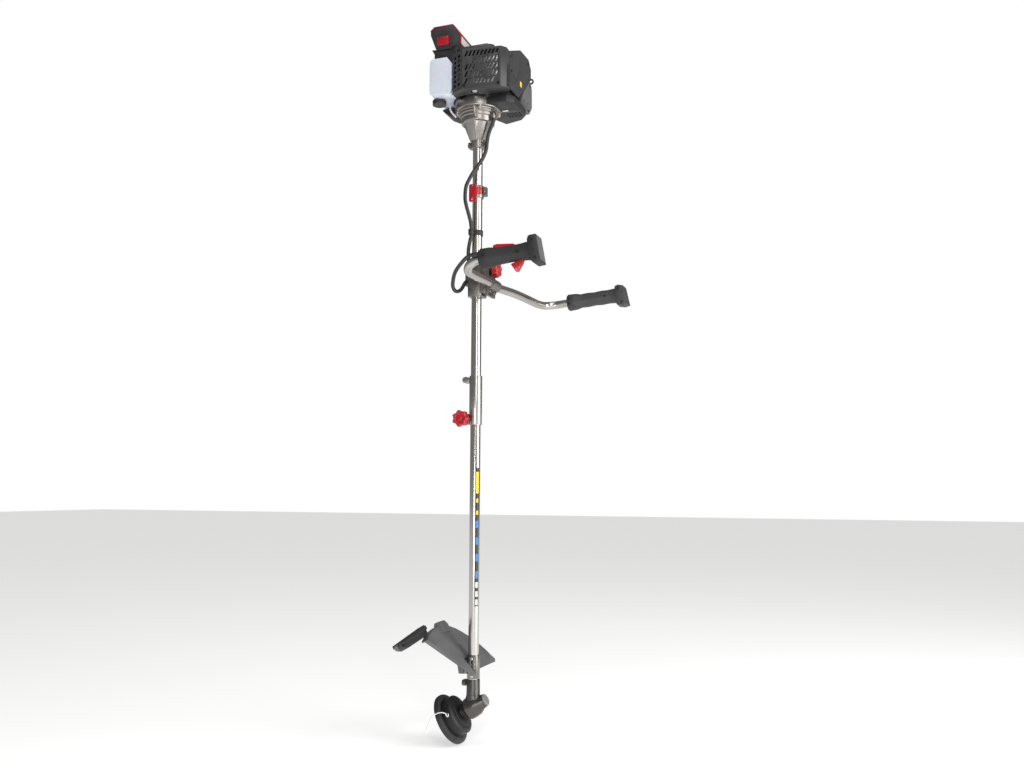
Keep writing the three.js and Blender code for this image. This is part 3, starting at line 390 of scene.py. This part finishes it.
GREY = surface("grey_plastic", (0.21, 0.21, 0.215), 0.45, 0, 0.14, 2200, 0.2)
RED = surface("red_plastic", (0.40, 0.008, 0.016), 0.3, 0, 0.12, 2400, 0.08, Coat_Weight=0.25)
TANK = surface(
    "tank_plastic", (0.74, 0.76, 0.84), 0.38, 0, 0.04, 1200, 0.1, blotch=15,
    Subsurface_Weight=0.35, Subsurface_Scale=0.01, Transmission_Weight=0.12,
)
RUBBER = surface("grip_rubber", (0.017, 0.017, 0.018), 0.62, 0, 0.25, 1800, 0.2, cells=520)
# The left grip's rubber: lighter and glossier than the right grip's.
GRIP_GREY = surface("grip_rubber_lighter", (0.040, 0.040, 0.042), 0.5, 0, 0.3, 1500, 0.25, cells=420)
WRAP = surface("loom_wrap", (0.02, 0.02, 0.021), 0.4, 0, 0.2, 2400, 0.1)
FOAM = surface("filter_foam", (0.03, 0.03, 0.03), 0.9, 0, 0.3, 600, 0.6, cells=700)
NYLON = surface("nylon_line", (0.86, 0.86, 0.84), 0.3, 0, 0.03, 3000, 0.05, Transmission_Weight=0.15)
LABEL_WHITE = surface("label_white", (0.62, 0.62, 0.60), 0.4, 0, 0.05, 2500, 0.03)
LABEL_YELLOW = surface("label_yellow", (0.80, 0.60, 0.01), 0.38, 0, 0.05, 2500, 0.03)
LABEL_BLUE = surface("label_blue", (0.03, 0.20, 0.55), 0.38, 0, 0.08, 2500, 0.03)
LABEL_BLACK = surface("label_black", (0.012, 0.012, 0.013), 0.32, 0, 0.1, 2500, 0.03)

LOOK = {
    "tube_steel": TUBE,
    "plain_steel": STEEL,
    "bright_steel": BRIGHT,
    "cast_alloy": CAST,
    "dark_alloy": GEAR_CAST,
    "black_plastic": BLACK,
    "dark_plastic": COVER,
    "grey_plastic": GREY,
    "red_plastic": RED,
    "tank_plastic": TANK,
    "grip_rubber": RUBBER,
    "loom_wrap": WRAP,
    "filter_foam": FOAM,
    "line_nylon": NYLON,
}


# ---- Cords ----------------------------------------------------------------------------
ENGINE_LOOM = [
    (50, -16.3, 188.8), (49.2, -16.2, 182), (43, -15, 168), (35, -13, 150), (31, -13, 130),
    (29, -14, 109), (23, -18, 88), (13, -23, 68), (3, -26, 54), (-6, -29, 38), (-13, -31, 24),
    (-19, -32, 10), (-21, -33, -8), (-21, -33, -26), (-18, -31, -44), (-14, -27, -62), (-10.5, -21, -82),
    (-9, -18.5, -100), (-9, -18.5, -110), (-9, -18.5, -120), (-14, -16.5, -136), (-21, -8, -156),
    (-25, 3, -176), (-27.6, 11, -196), (-28, 12, -206), (-28, 12, -213.6),
]
GRIP_LOOM = [
    (-28, 2.4, -236), (-28, -3, -236), (-29, -12, -243), (-30.5, -24, -257), (-32, -40, -268),
    (-34, -61, -272), (-32, -81, -265), (-24, -98, -253), (-13, -114, -240), (3, -131, -230),
    (22, -150, -223), (42, -172, -219), (60, -188, -218), (71, -192.5, -218), (79.5, -193, -217.5),
]
FUEL_LINE = [
    (-69, -27, 242.6), (-69, -27, 236), (-68, -29, 227), (-64, -31, 217), (-57, -31, 208),
    (-51, -29, 201),
]
CUTTING_LINE = [
    (-46, -52, -1318), (-50, -59, -1310), (-57, -65, -1308), (-66, -69, -1310), (-73, -74, -1315),
    (-79, -78, -1323), (-85, -81, -1338), (-90, -84, -1359),
]


def wrap_ridge(turn, distance):
    """Spiral wrap: a flat band with a narrow groove, one turn every WRAP_PITCH."""
    phase = (turn / (2 * math.pi) + distance / WRAP_PITCH) % 1
    return 0.93 if phase < WRAP_GROOVE else 1.0


def add_cord(node, route, radius, step, sides, swell=None):
    path = smooth_path(route, step)
    bm = bmesh.new()
    add_tube(bm, path, radius, sides, swell)
    piece = from_bmesh(node + "_run", bm)
    return piece


engine_run = add_cord("engine_loom", ENGINE_LOOM, LOOM_R, 1.5, 20, wrap_ridge)
grip_run = add_cord("grip_loom", GRIP_LOOM, LOOM_R, 1.5, 20, wrap_ridge)
fuel_run = add_cord("fuel_line", FUEL_LINE, FUEL_LINE_R, 2, 16)
line_run = add_cord("cutting_line", CUTTING_LINE, CUTTING_LINE_R, 2.5, 12)
settle(engine_run, "engine_and_shaft", "loom_wrap", WRAP, "engine_loom", smooth=60)
settle(fuel_run, "engine_and_shaft", "tank_plastic", TANK, "fuel_line", smooth=60)
settle(line_run, "line_head", "line_nylon", NYLON, "cutting_line", smooth=60)
grip_run.data.shade_smooth()
grip_run.data.materials.append(WRAP)
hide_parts("grip_loom")
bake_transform(grip_run)


# ---- Stage ----------------------------------------------------------------------------
FLOOR_SIZE = 20
FLOOR_GAP = 0.003
FLOOR_GLOW = 0.5
ROOM_LIGHT = 0.24
BACKDROP_LIGHT = 1.0


def add_stage():
    """A pale floor just under the lowest piece."""
    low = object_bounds()[0]
    bm = bmesh.new()
    bmesh.ops.create_grid(bm, x_segments=1, y_segments=1, size=FLOOR_SIZE)
    for vert in bm.verts:
        vert.co.z = low[2] - FLOOR_GAP
    floor = from_bmesh("floor", bm)
    material = bpy.data.materials.new("floor")
    material.use_nodes = True
    shader = material.node_tree.nodes["Principled BSDF"]
    shader.inputs["Base Color"].default_value = (0.9, 0.9, 0.9, 1)
    shader.inputs["Roughness"].default_value = 0.7
    shader.inputs["Emission Color"].default_value = (1, 1, 1, 1)
    shader.inputs["Emission Strength"].default_value = FLOOR_GLOW
    floor.data.materials.append(material)


def add_area(name, place, aim, size, power, tall=None):
    """A soft box of a width and, where given, another height, aimed at a spot."""
    data = bpy.data.lights.new(name, "AREA")
    data.shape = "RECTANGLE"
    data.size = size
    data.size_y = tall or size
    data.energy = power
    light = bpy.data.objects.new(name, data)
    light.location = place
    light.rotation_euler = (Vector(aim) - Vector(place)).to_track_quat("-Z", "Y").to_euler()
    bpy.context.scene.collection.objects.link(light)


def add_light():
    """A white backdrop for the eye, a dim room for reflections, and soft boxes."""
    world = bpy.data.worlds.new("studio")
    world.use_nodes = True
    tree = world.node_tree
    room = tree.nodes["Background"]
    room.inputs["Color"].default_value = (1, 0.985, 0.97, 1)
    room.inputs["Strength"].default_value = ROOM_LIGHT
    backdrop = add_node(tree, "ShaderNodeBackground", Color=(1, 1, 1, 1), Strength=BACKDROP_LIGHT)
    path = add_node(tree, "ShaderNodeLightPath")
    mix = add_node(tree, "ShaderNodeMixShader")
    tree.links.new(path.outputs["Is Camera Ray"], mix.inputs[0])
    tree.links.new(room.outputs[0], mix.inputs[1])
    tree.links.new(backdrop.outputs[0], mix.inputs[2])
    tree.links.new(mix.outputs[0], tree.nodes["World Output"].inputs["Surface"])
    bpy.context.scene.world = world
    add_area("key", (3.0, -0.3, -0.2), (0, 0, -0.4), 2.2, 95, 3.6)
    add_area("front", (1.6, -2.6, 0.7), (0, 0, -0.1), 0.7, 26, 2.2)
    add_area("under", (0.4, -1.9, -0.9), (0, 0, 0.25), 0.5, 8)
    add_area("top", (0.3, -1.2, 2.6), (0, 0, 0.2), 1.6, 24)
    bpy.context.scene.view_settings.view_transform = "Standard"


add_stage()
add_light()


# ---- Refined CAD shells ---------------------------------------------------------------
WELD = 2e-5
FLAT_ANGLE = math.radians(1.5)
SHARP_ANGLE = math.radians(40)


def merged_copy(node):
    """A CAD node's shape with its flat faces merged."""
    bm = bmesh.new()
    bm.from_mesh(frame["nodes"][node].data)
    bmesh.ops.remove_doubles(bm, verts=bm.verts[:], dist=WELD)
    bmesh.ops.dissolve_limit(
        bm, angle_limit=FLAT_ANGLE, verts=bm.verts[:], edges=bm.edges[:],
    )
    return bm


def refined(node, material, edge, cuts=(), base=None):
    """A shell for a CAD node: cut by groups of prisms, with its edges rounded."""
    piece = from_bmesh(node + "_shell", base or merged_copy(node))
    tools = []
    for group in cuts:
        bm = bmesh.new()
        for outline, axis, low, high in group:
            add_prism(bm, outline, axis, low, high)
        tools.append(from_bmesh("tool", bm))
        modifier = piece.modifiers.new("cut", "BOOLEAN")
        modifier.operation = "DIFFERENCE"
        modifier.solver = "EXACT"
        modifier.object = tools[-1]
    bevel = piece.modifiers.new("bevel", "BEVEL")
    bevel.width = edge * MM
    bevel.segments = 2
    bevel.limit_method = "ANGLE"
    bevel.angle_limit = SHARP_ANGLE
    bevel.use_clamp_overlap = True
    bpy.context.view_layer.update()
    evaluated = piece.evaluated_get(bpy.context.evaluated_depsgraph_get())
    mesh = bpy.data.meshes.new_from_object(evaluated)
    piece.modifiers.clear()
    piece.data = mesh
    for tool in tools:
        bpy.data.objects.remove(tool)
    settle(piece, BODY[node], SLOT[node], material, node)


# Nodes that keep their CAD shape, with its edges rounded: material and width of the rounding.
EDGES = {
    "coupling_sleeve": (SLEEVE, 0.6),
    "clutch_housing": (CAST, 1.2),
    "fan_housing": (BLACK, 0.9),
    "crankcase": (CAST, 1.0),
    "cylinder": (CAST, 0.4),
    "muffler": (BRIGHT, 3.0),
    "carburettor": (CAST, 0.8),
    "air_filter": (FOAM, 0.8),
    "choke_lever": (BLACK, 0.6),
    "fuel_tank": (TANK, 2.5),
    "tank_stand": (BLACK, 1.2),
    "starter_housing": (COVER, 2.0),
    "battery_holder": (BLACK, 1.2),
    "battery_pack": (DARK, 2.4),
    "battery_button": (RED, 1.2),
    "harness_clamp": (CAST, 0.7),
    "harness_tab": (RED, 0.6),
    "cable_clip": (BLACK, 0.4),
    "handlebar_clamp": (CLAMP_CAST, 1.6),
    "handlebar_cap": (CLAMP_CAST, 1.4),
    "right_grip": (RUBBER, 2.0),
    "left_grip": (GRIP_GREY, 1.2),
    "throttle_trigger": (RED, 1.2),
    "lockout_lever": (RED, 1.2),
    "stop_switch": (RED, 0.8),
    "guard_bracket": (CLAMP_CAST, 0.5),
    "guard": (GUARD, 0.9),
    "guard_extension": (BLACK, 1.2),
    "line_cutter": (STEEL, 0.25),
    "gearbox_housing": (GEAR_CAST, 1.2),
    "gearbox_cap": (GREY, 0.8),
}
for node_name, (node_material, node_edge) in EDGES.items():
    refined(node_name, node_material, node_edge)


def turns(count):
    """Evenly spaced angles round a circle."""
    return [2 * math.pi * i / count for i in range(count)]


def circle(u, v, radius, sides):
    return [(u + radius * math.cos(a), v + radius * math.sin(a)) for a in turns(sides)]


def rectangle(u0, u1, v0, v1):
    return [(u0, v0), (u1, v0), (u1, v1), (u0, v1)]


def leaning(u, v, width, height, lean):
    """A parallelogram from its lower left corner, with its top pushed sideways."""
    return [(u, v), (u + width, v), (u + width + lean, v + height), (u + lean, v + height)]


# ---- Muffler cover, with its slanted vents ------------------------------------------------
def front_vents():
    """Five rows of slanted vents, with a solid bar left across them."""
    low = 253
    width = 5.8
    height = 15
    column_pitch = 9.8
    row_pitch = 18.2
    bar_start = 318
    bar_slope = 0.74
    bar_half = 8.5
    vents = []
    for row in range(5):
        for column in range(9):
            u = 1 + column * column_pitch
            v = low + row * row_pitch
            bar = bar_start - (u - 4) * bar_slope
            if abs(v + 7 - bar) > bar_half:
                vents.append((leaning(u, v, width, height, 6.5), "y", -112, -82))
    return vents


def corner_vents():
    """Two columns of square vents in the cover's slanted left wall."""
    height = 8
    vents = []
    for row in range(7):
        low = 253 + row * 12.6
        vents.append((rectangle(-33, -26, low, low + height), "y", -110, -76))
        vents.append((rectangle(-19, -11, low, low + height), "y", -112, -86))
    return vents


def right_louvres():
    """A stack of narrow louvres in the cover's right wall."""
    pitch = 6.6
    return [(leaning(-74, 250 + i * pitch, 17, 3, 2), "x", 100, 112) for i in range(9)]


def add_muffler_cover():
    """A box round the muffler with ways for the clutch drum and the outlet in its bottom."""
    plan = [(-40, -53), (-40, -82), (-3, -105), (96, -90), (107, -76), (107, -53)]
    inside = [(-37.5, -50), (-37.5, -80.6), (-2.6, -102.3), (95, -87.6), (104.5, -75), (104.5, -50)]
    drum = circle(0, 0, DRUM_WAY_R, 96)
    outlet = circle(20, -75, OUTLET_R, 32)
    hollow = [(inside, "z", 243.5, 344.5)]
    ways = [(drum, "z", 239, 246), (outlet, "z", 239, 246)]
    vents = front_vents() + corner_vents() + right_louvres()
    base = bmesh.new()
    add_prism(base, plan, "z", 241, 347)
    refined("muffler_cover", COVER, 0.5, [hollow, ways, vents], base)


# ---- Cylinder cover and air filter cover --------------------------------------------------
def add_side_covers():
    """A stepped groove on the cylinder cover and a square grille on the filter cover."""
    groove = [
        (-30, 290), (4, 290), (30, 330), (30, 372), (26, 370), (26, 332), (1, 294), (-30, 294),
    ]
    refined("cylinder_cover", COVER, 1.4, [[(groove, "x", 105.8, 110)]])
    pitch = 7
    grille = []
    for row in range(3):
        for column in range(7 - row):
            u = 48 + column * pitch + row * 2.5
            v = 245 + row * pitch
            grille.append((rectangle(u, u + 4.6, v, v + 4.5), "x", 100, 112))
    refined("air_filter_cover", FILTER_COVER, 1.6, [grille])


add_muffler_cover()
add_side_covers()


# ---- Tubes and bars -------------------------------------------------------------------
def add_skin(node, material, profile, place=Matrix.Scale(MM, 4), sides=96, shape=None, smooth=35):
    """A turned piece that stands for a CAD node."""
    bm = bmesh.new()
    add_turned(bm, profile, place, sides, shape)
    piece = from_bmesh(node + "_skin", bm)
    settle(piece, BODY[node], SLOT[node], material, node, smooth=smooth)


def tube_profile(low, high):
    """A shaft tube's section, its outer edges broken."""
    inner = TUBE_R - TUBE_WALL
    outer = TUBE_R
    edge = 0.5
    return [
        (inner, low), (outer - edge, low), (outer, low + edge), (outer, high - edge),
        (outer - edge, high), (inner, high), (inner, low),
    ]


add_skin("upper_tube", TUBE, tube_profile(-535, 152))
add_skin("lower_tube", TUBE, tube_profile(-1262, -536))

BAR_ROUTE = [
    (183.6, -180, -219.1), (140, -180, -222.9), (100, -180, -226.4), (82, -180, -228),
    (67, -179, -231), (51, -174, -239), (41, -157, -247), (40, -130, BAR_Z), (43, -80, BAR_Z),
    (45, -46, BAR_Z), (45, -28, BAR_Z), (45, 28, BAR_Z), (45, 46, BAR_Z),
    (50, 70, BAR_Z), (60, 115, BAR_Z), (67, 170, BAR_Z), (71, 240, -248), (74, 290, -247),
    (84, 317, -246), (108, 330, -243.7), (150, 330, -240), (220, 330, -233.9), (283.5, 330, -228.3),
]


def add_handlebar():
    """The bar, along the CAD's own route."""
    bm = bmesh.new()
    add_tube(bm, smooth_path(BAR_ROUTE, 4), BAR_R, 48)
    piece = from_bmesh("handlebar_bar", bm)
    settle(piece, "handlebar", "tube_steel", BAR_STEEL, "handlebar", smooth=60)


add_handlebar()


# ---- Small parts made by loops ---------------------------------------------------------
def socket_screw(bm, spot, axis, radius=3.6, height=2.4):
    """A cap screw with a hexagon socket, its seat at a spot in millimetres."""
    place = axis_matrix(spot, axis)
    profile = [
        (radius * 1.25, 0), (radius * 1.25, 0.5), (radius, 0.7), (radius, height - 0.5),
        (radius - 0.5, height), (radius * 0.58, height),
    ]
    rings = []
    for r, z in profile:
        rings.append([place @ Vector((x, y, z)) for x, y in circle(0, 0, r, 24)])
    hexagon = [corner(radius * 0.58, a) for a in turns(24)]
    for z in (height, height - 1.4):
        rings.append([place @ Vector((x, y, z)) for x, y in hexagon])
    add_grid(bm, rings)


def corner(radius, turn):
    """A point of a hexagon's outline at a turn."""
    r = radius * 0.866 / math.cos((turn + math.pi / 6) % (math.pi / 3) - math.pi / 6)
    return r * math.cos(turn), r * math.sin(turn)


def add_screws(name, body, spots, radius=3.6, height=2.4, material=BOLT):
    """Cap screws at (spot, axis) pairs, as one piece."""
    bm = bmesh.new()
    for spot, axis in spots:
        socket_screw(bm, spot, axis, radius, height)
    settle(from_bmesh(name, bm), body, "plain_steel", material, smooth=40)


def star_knob(node, spot, axis, radius, height, lobes, depth, hub, body):
    """A hand knob with round lobes, a dished face and a round hub below it."""
    place = axis_matrix(spot, axis)
    sections = [
        (0.62, 0.0), (0.90, 0.0), (0.97, 0.8), (1.0, 2.4), (1.0, height - 4.5), (0.97, height - 2.0),
        (0.90, height - 0.5), (0.82, height), (0.66, height), (0.60, height - 0.6), (0.56, height - 1.8),
        (0.30, height - 2.0), (0.28, height - 1.0), (0.24, height - 0.6), (0.02, height - 0.5),
    ]
    rings = []
    for size, z in sections:
        ring = []
        for a in turns(lobes * 18):
            dip = depth * (0.5 - 0.5 * math.cos(lobes * a)) ** 0.75
            reach = min(1, max(0, (size - 0.35) / 0.4))
            r = size * (radius - dip * reach)
            ring.append(place @ Vector((r * math.cos(a), r * math.sin(a), z)))
        rings.append(ring)
    bm = bmesh.new()
    add_grid(bm, rings)
    bore = hub * 0.4
    foot = -hub * 1.1
    add_turned(bm, [(hub, foot), (hub, 0.4), (bore, 0.4), (bore, foot), (hub, foot)], place, 40)
    settle(from_bmesh(node + "_grip", bm), body, "red_plastic", RED, node, smooth=50)


star_knob("coupling_knob", (-29, -19, -594), (0, -1, 0), 22, 19, 7, 4.2, 9, "coupling_knob")
star_knob("clamp_knob", (47.3, 0, -209), (1, 0, 0), 22.5, 15.7, 7, 4.2, 9, "clamp_knob")
star_knob("air_filter_knob", (90, 136.4, 303), (0, 1, 0), 10.5, 7.5, 5, 2.2, 3, "filter_knob")


# ---- Line head, turned about the output shaft ------------------------------------------
HEAD = scaled(HEAD_FRAME)


def ribbed(count, low, high, depth):
    """A shape for turned skins: shallow ribs all round between two heights."""
    def shape(turn, radius, z):
        if low <= z <= high:
            return radius - depth * (0.5 - 0.5 * math.cos(count * turn)) ** 2
        return radius
    return shape


add_skin("head_housing", HEAD_BLACK, [
    (5.3, -31.8), (28, -31.8), (30, -32.4), (31, -33.8), (33, -34.4), (38, -35), (40, -35.6), (42, -36.2),
    (43.6, -37.2), (46.6, -38.4), (48, -40), (48, -60.4), (47.2, -61.5), (45, -61.5), (45, -42),
    (40, -39), (9, -39), (9, -58), (5.3, -58), (5.3, -31.8),
], HEAD, 144, ribbed(36, -60, -40.2, 1.1))
add_skin("head_base", BLACK, [
    (17, -62), (48.4, -62), (49.4, -62.3), (59, -63), (61.4, -64), (62.5, -65.6), (62.5, -72.4),
    (61.8, -73.8), (60, -75.4), (56, -76), (40, -77), (24, -77), (17, -77), (17, -62),
], HEAD, 144, ribbed(48, -72.0, -66.0, 0.7))
add_skin("bump_button", BLACK, [
    (0.1, -64.5), (16, -64.5), (16.5, -65.2), (16.5, -75.4), (16, -77), (15, -80.6), (13, -82.6), (10, -84.4),
    (5, -85.6), (0.1, -86),
], HEAD, 96, ribbed(12, -80.7, -65.3, 1.4))


def add_head_detail():
    """Eyelet bushes, rib spokes on the cap and a rim line on the base."""
    eyelet_profile = [
        (2.2, 0), (4.6, 0), (5.2, 0.8), (5.2, 2.6), (4.2, 3.2), (2.6, 3.2), (2.2, 2.4), (2.2, 0),
    ]
    bm = bmesh.new()
    for side in (-1, 1):
        eyelet = HEAD @ Matrix.Translation((12 * side, side * 47, -48)) @ Matrix.Rotation(
            -side * math.pi / 2, 4, "X"
        )
        add_turned(bm, eyelet_profile, eyelet, 32)
    settle(from_bmesh("head_eyelets", bm), "line_head", "plain_steel", BOLT, smooth=40)
    bm = bmesh.new()
    for turn in turns(12):
        spoke = HEAD @ Matrix.Rotation(turn, 4, "Z")
        add_block(bm, (32, -1.1, -36.4), (41, 1.1, -34.0), spoke, 0.5)
    settle(from_bmesh("head_spokes", bm), "line_head", "dark_plastic", DARK, smooth=40)
    bm = bmesh.new()
    add_turned(bm, [(52, -62.4), (60.6, -63.4), (61, -63), (59, -62.1), (52, -61.7), (52, -62.4)], HEAD, 128)
    settle(from_bmesh("head_rim_line", bm), "line_head", "dark_plastic", COVER, smooth=60)


add_head_detail()


# ---- Battery trim, labels and screws -----------------------------------------------------
def add_plate(name, body, slot, material, low, high, edge=0.4):
    """A thin block between two corners, as a piece of its own."""
    bm = bmesh.new()
    add_block(bm, low, high, edge=edge)
    settle(from_bmesh(name, bm), body, slot, material)


def add_battery_trim():
    """A red band round the pack's top, a framed blank label on its end and ribs on the button."""
    bm = bmesh.new()
    band = [
        (-118.6, 439), (-118.6, 441), (-108.2, BATTERY_TOP), (-53.8, BATTERY_TOP), (-44.4, 439),
        (-44.4, 434), (-46, 434), (-46, 438), (-55, 448), (-107, 448), (-117, 439),
    ]
    for low, high in ((-50.6, -44), (50, 56.6)):
        add_prism(bm, band, "y", low, high)
    add_block(bm, (-45.2, -44, 434), (-44.2, 50, 439))
    add_block(bm, (-118.8, -44, 434), (-117.8, 50, 440))
    add_block(bm, (-45.2, -20, 404), (-44.0, 48, 409), edge=0.4)
    for low, high in ((-20, -15), (43, 48)):
        add_block(bm, (-45.2, low, 404), (-44.0, high, 438), edge=0.4)
    for i in range(5):
        z = 398 + i * 4.2
        add_block(bm, (-96, -52.6, z), (-68, -51.2, z + 1.8), edge=0.4)
    settle(from_bmesh("battery_trim", bm), "battery", "red_plastic", RED)
    add_plate("battery_label", "battery", "grey_plastic", LABEL_WHITE, (-45.1, -13, 411), (-44.3, 41, 432))
    # A black strip on the pack's side: painted shade standing for a groove.
    add_plate("battery_groove", "battery", "black_plastic", BLACK, (-112, -50.3, 426), (-58, -49.6, 427.6))


add_battery_trim()
add_plate("fan_label", "engine_and_shaft", "grey_plastic", LABEL_WHITE, (64, 8, 217.2), (80, 16, 218.2))
add_plate("fan_label_dark", "engine_and_shaft", "black_plastic", LABEL_BLACK, (60, 4, 217.5), (98, 26, 218.3))
add_plate("cover_mark", "engine_and_shaft", "grey_plastic", LABEL_YELLOW, (106.8, 28, 288), (107.6, 42, 302))


LABEL_CENTRE = math.radians(-40)
RAISED = 0.18


def add_tube_label(name, material, slot, low, high, half=22, out=0.10):
    """A printed patch that lies on the lower tube's right side; half is its half width in degrees."""
    bm = bmesh.new()
    inner = TUBE_R - 0.05
    outer = TUBE_R + out
    across = 16
    along = 24
    rings = []
    for i in range(along + 1):
        z = low + (high - low) * i / along
        reach = math.radians(half * (0.94 if i in (0, along) else 1))
        arc = [LABEL_CENTRE + reach * (2 * k / across - 1) for k in range(across + 1)]
        ring = [(outer * math.cos(a), outer * math.sin(a), z) for a in arc]
        ring += [(inner * math.cos(a), inner * math.sin(a), z) for a in reversed(arc)]
        rings.append([Vector(point) * MM for point in ring])
    add_grid(bm, rings)
    settle(from_bmesh(name, bm), "lower_shaft", slot, material, smooth=60)


add_tube_label("tube_label", LABEL_BLACK, "black_plastic", -1060, -718)
add_tube_label("tube_label_top", LABEL_YELLOW, "grey_plastic", -782, -728, 17, out=RAISED)
for mark, mark_material, reach_z, half_turn, heights in (
    ("dot", LABEL_YELLOW, 5, 12, (-800, -830)),
    ("disc", LABEL_BLUE, 9, 16, (-859, -900, -941, -983)),
    ("block", LABEL_WHITE, 7, 16, (-1008, -1030, -1050)),
):
    for index, mark_z in enumerate(heights):
        add_tube_label(
            f"tube_label_{mark}_{index}", mark_material, "grey_plastic",
            mark_z - reach_z, mark_z + reach_z, half_turn, out=RAISED,
        )


def add_all_screws():
    """Cap screws on the castings and the covers."""
    flange_r = 54.5
    first = 0.45
    flange = [first + a for a in turns(4)]
    seats = [((flange_r * math.cos(a), flange_r * math.sin(a), 211.2), (0, 0, -1)) for a in flange]
    add_screws("flange_screws", "engine_and_shaft", seats, 3.4, 3)
    slanted = (-0.15, -0.99, 0)
    covers = [((2, -103.8, 249), slanted), ((90, -90.5, 249), slanted)]
    covers += [((COVER_X, y, z), (1, 0, 0)) for y, z in ((-40, 300), (-40, 340), (96, 380))]
    add_screws("cover_screws", "engine_and_shaft", covers, 3, 2, DARK_BOLT)
    filter_seats = [((COVER_X, y, z), (1, 0, 0)) for y, z in ((108, 322), (100, 248))]
    add_screws("filter_screws", "filter_cover", filter_seats, 2.6, 1.6, DARK_BOLT)
    guard_seats = [((3, -19, z), (0, -1, 0)) for z in (-1186, -1228)]
    add_screws("bracket_screws", "lower_shaft", guard_seats, 2.6, 1.8)


def add_bracket_slots():
    """Slots in the guard bracket's plate, drawn as black blocks: painted shade for the slot openings."""
    bm = bmesh.new()
    for z in (-1192, -1214):
        add_block(bm, (0.2, -19.2, z - 7), (5.8, -16.4, z + 7), edge=1.2)
    settle(from_bmesh("bracket_slots", bm), "lower_shaft", "black_plastic", BLACK)


add_all_screws()
add_bracket_slots()


# ---- Grip ends and recesses ---------------------------------------------------------------
RIGHT_RECESSES = [(98, -20.0, -2), (14, -23.6, 4), (138, -23.2, 20), (142, -23.2, -24)]
LEFT_RECESSES = [
    (8, -24.3, 8), (8, -24.3, -8), (112, -20, 0), (152, -22.2, 16), (160, -22.2, -24),
]


def add_grip_face():
    """The right grip's grey end face."""
    bm = bmesh.new()
    add_prism(bm, [(153.4, -31), (154.8, -31), (149.1, 28), (147.6, 28)], "y", -20, 20)
    bmesh.ops.transform(bm, matrix=RIGHT_FRAME, verts=bm.verts[:])
    settle(from_bmesh("right_grip_face", bm), "handlebar", "grey_plastic", FILTER_COVER)


def add_recesses(name, grip, spots):
    """Screw recesses in a grip's -Y side, at spots in its own axes, drawn as discs of the darkest black:
    painted shade inside the recesses.
    """
    recess = [(0.1, 0), (3.4, 0), (3.4, 0.6), (2.6, 0.6), (2.4, -0.6), (0.1, -0.6)]
    bm = bmesh.new()
    for spot in spots:
        add_turned(bm, recess, grip @ axis_matrix(spot, (0, -1, 0)), 20)
    settle(from_bmesh(name, bm), "handlebar", "black_plastic", HEAD_BLACK)


add_grip_face()
add_recesses("right_grip_recess_shade", RIGHT_FRAME, RIGHT_RECESSES)
add_recesses("left_grip_recess_shade", LEFT_FRAME, LEFT_RECESSES)


# ---- Other nodes keep their CAD shape ----------------------------------------------------
for node_name, thing in frame["nodes"].items():
    if thing.hide_render:
        continue
    thing.data.materials.clear()
    thing.data.materials.append(LOOK[SLOT[node_name]])
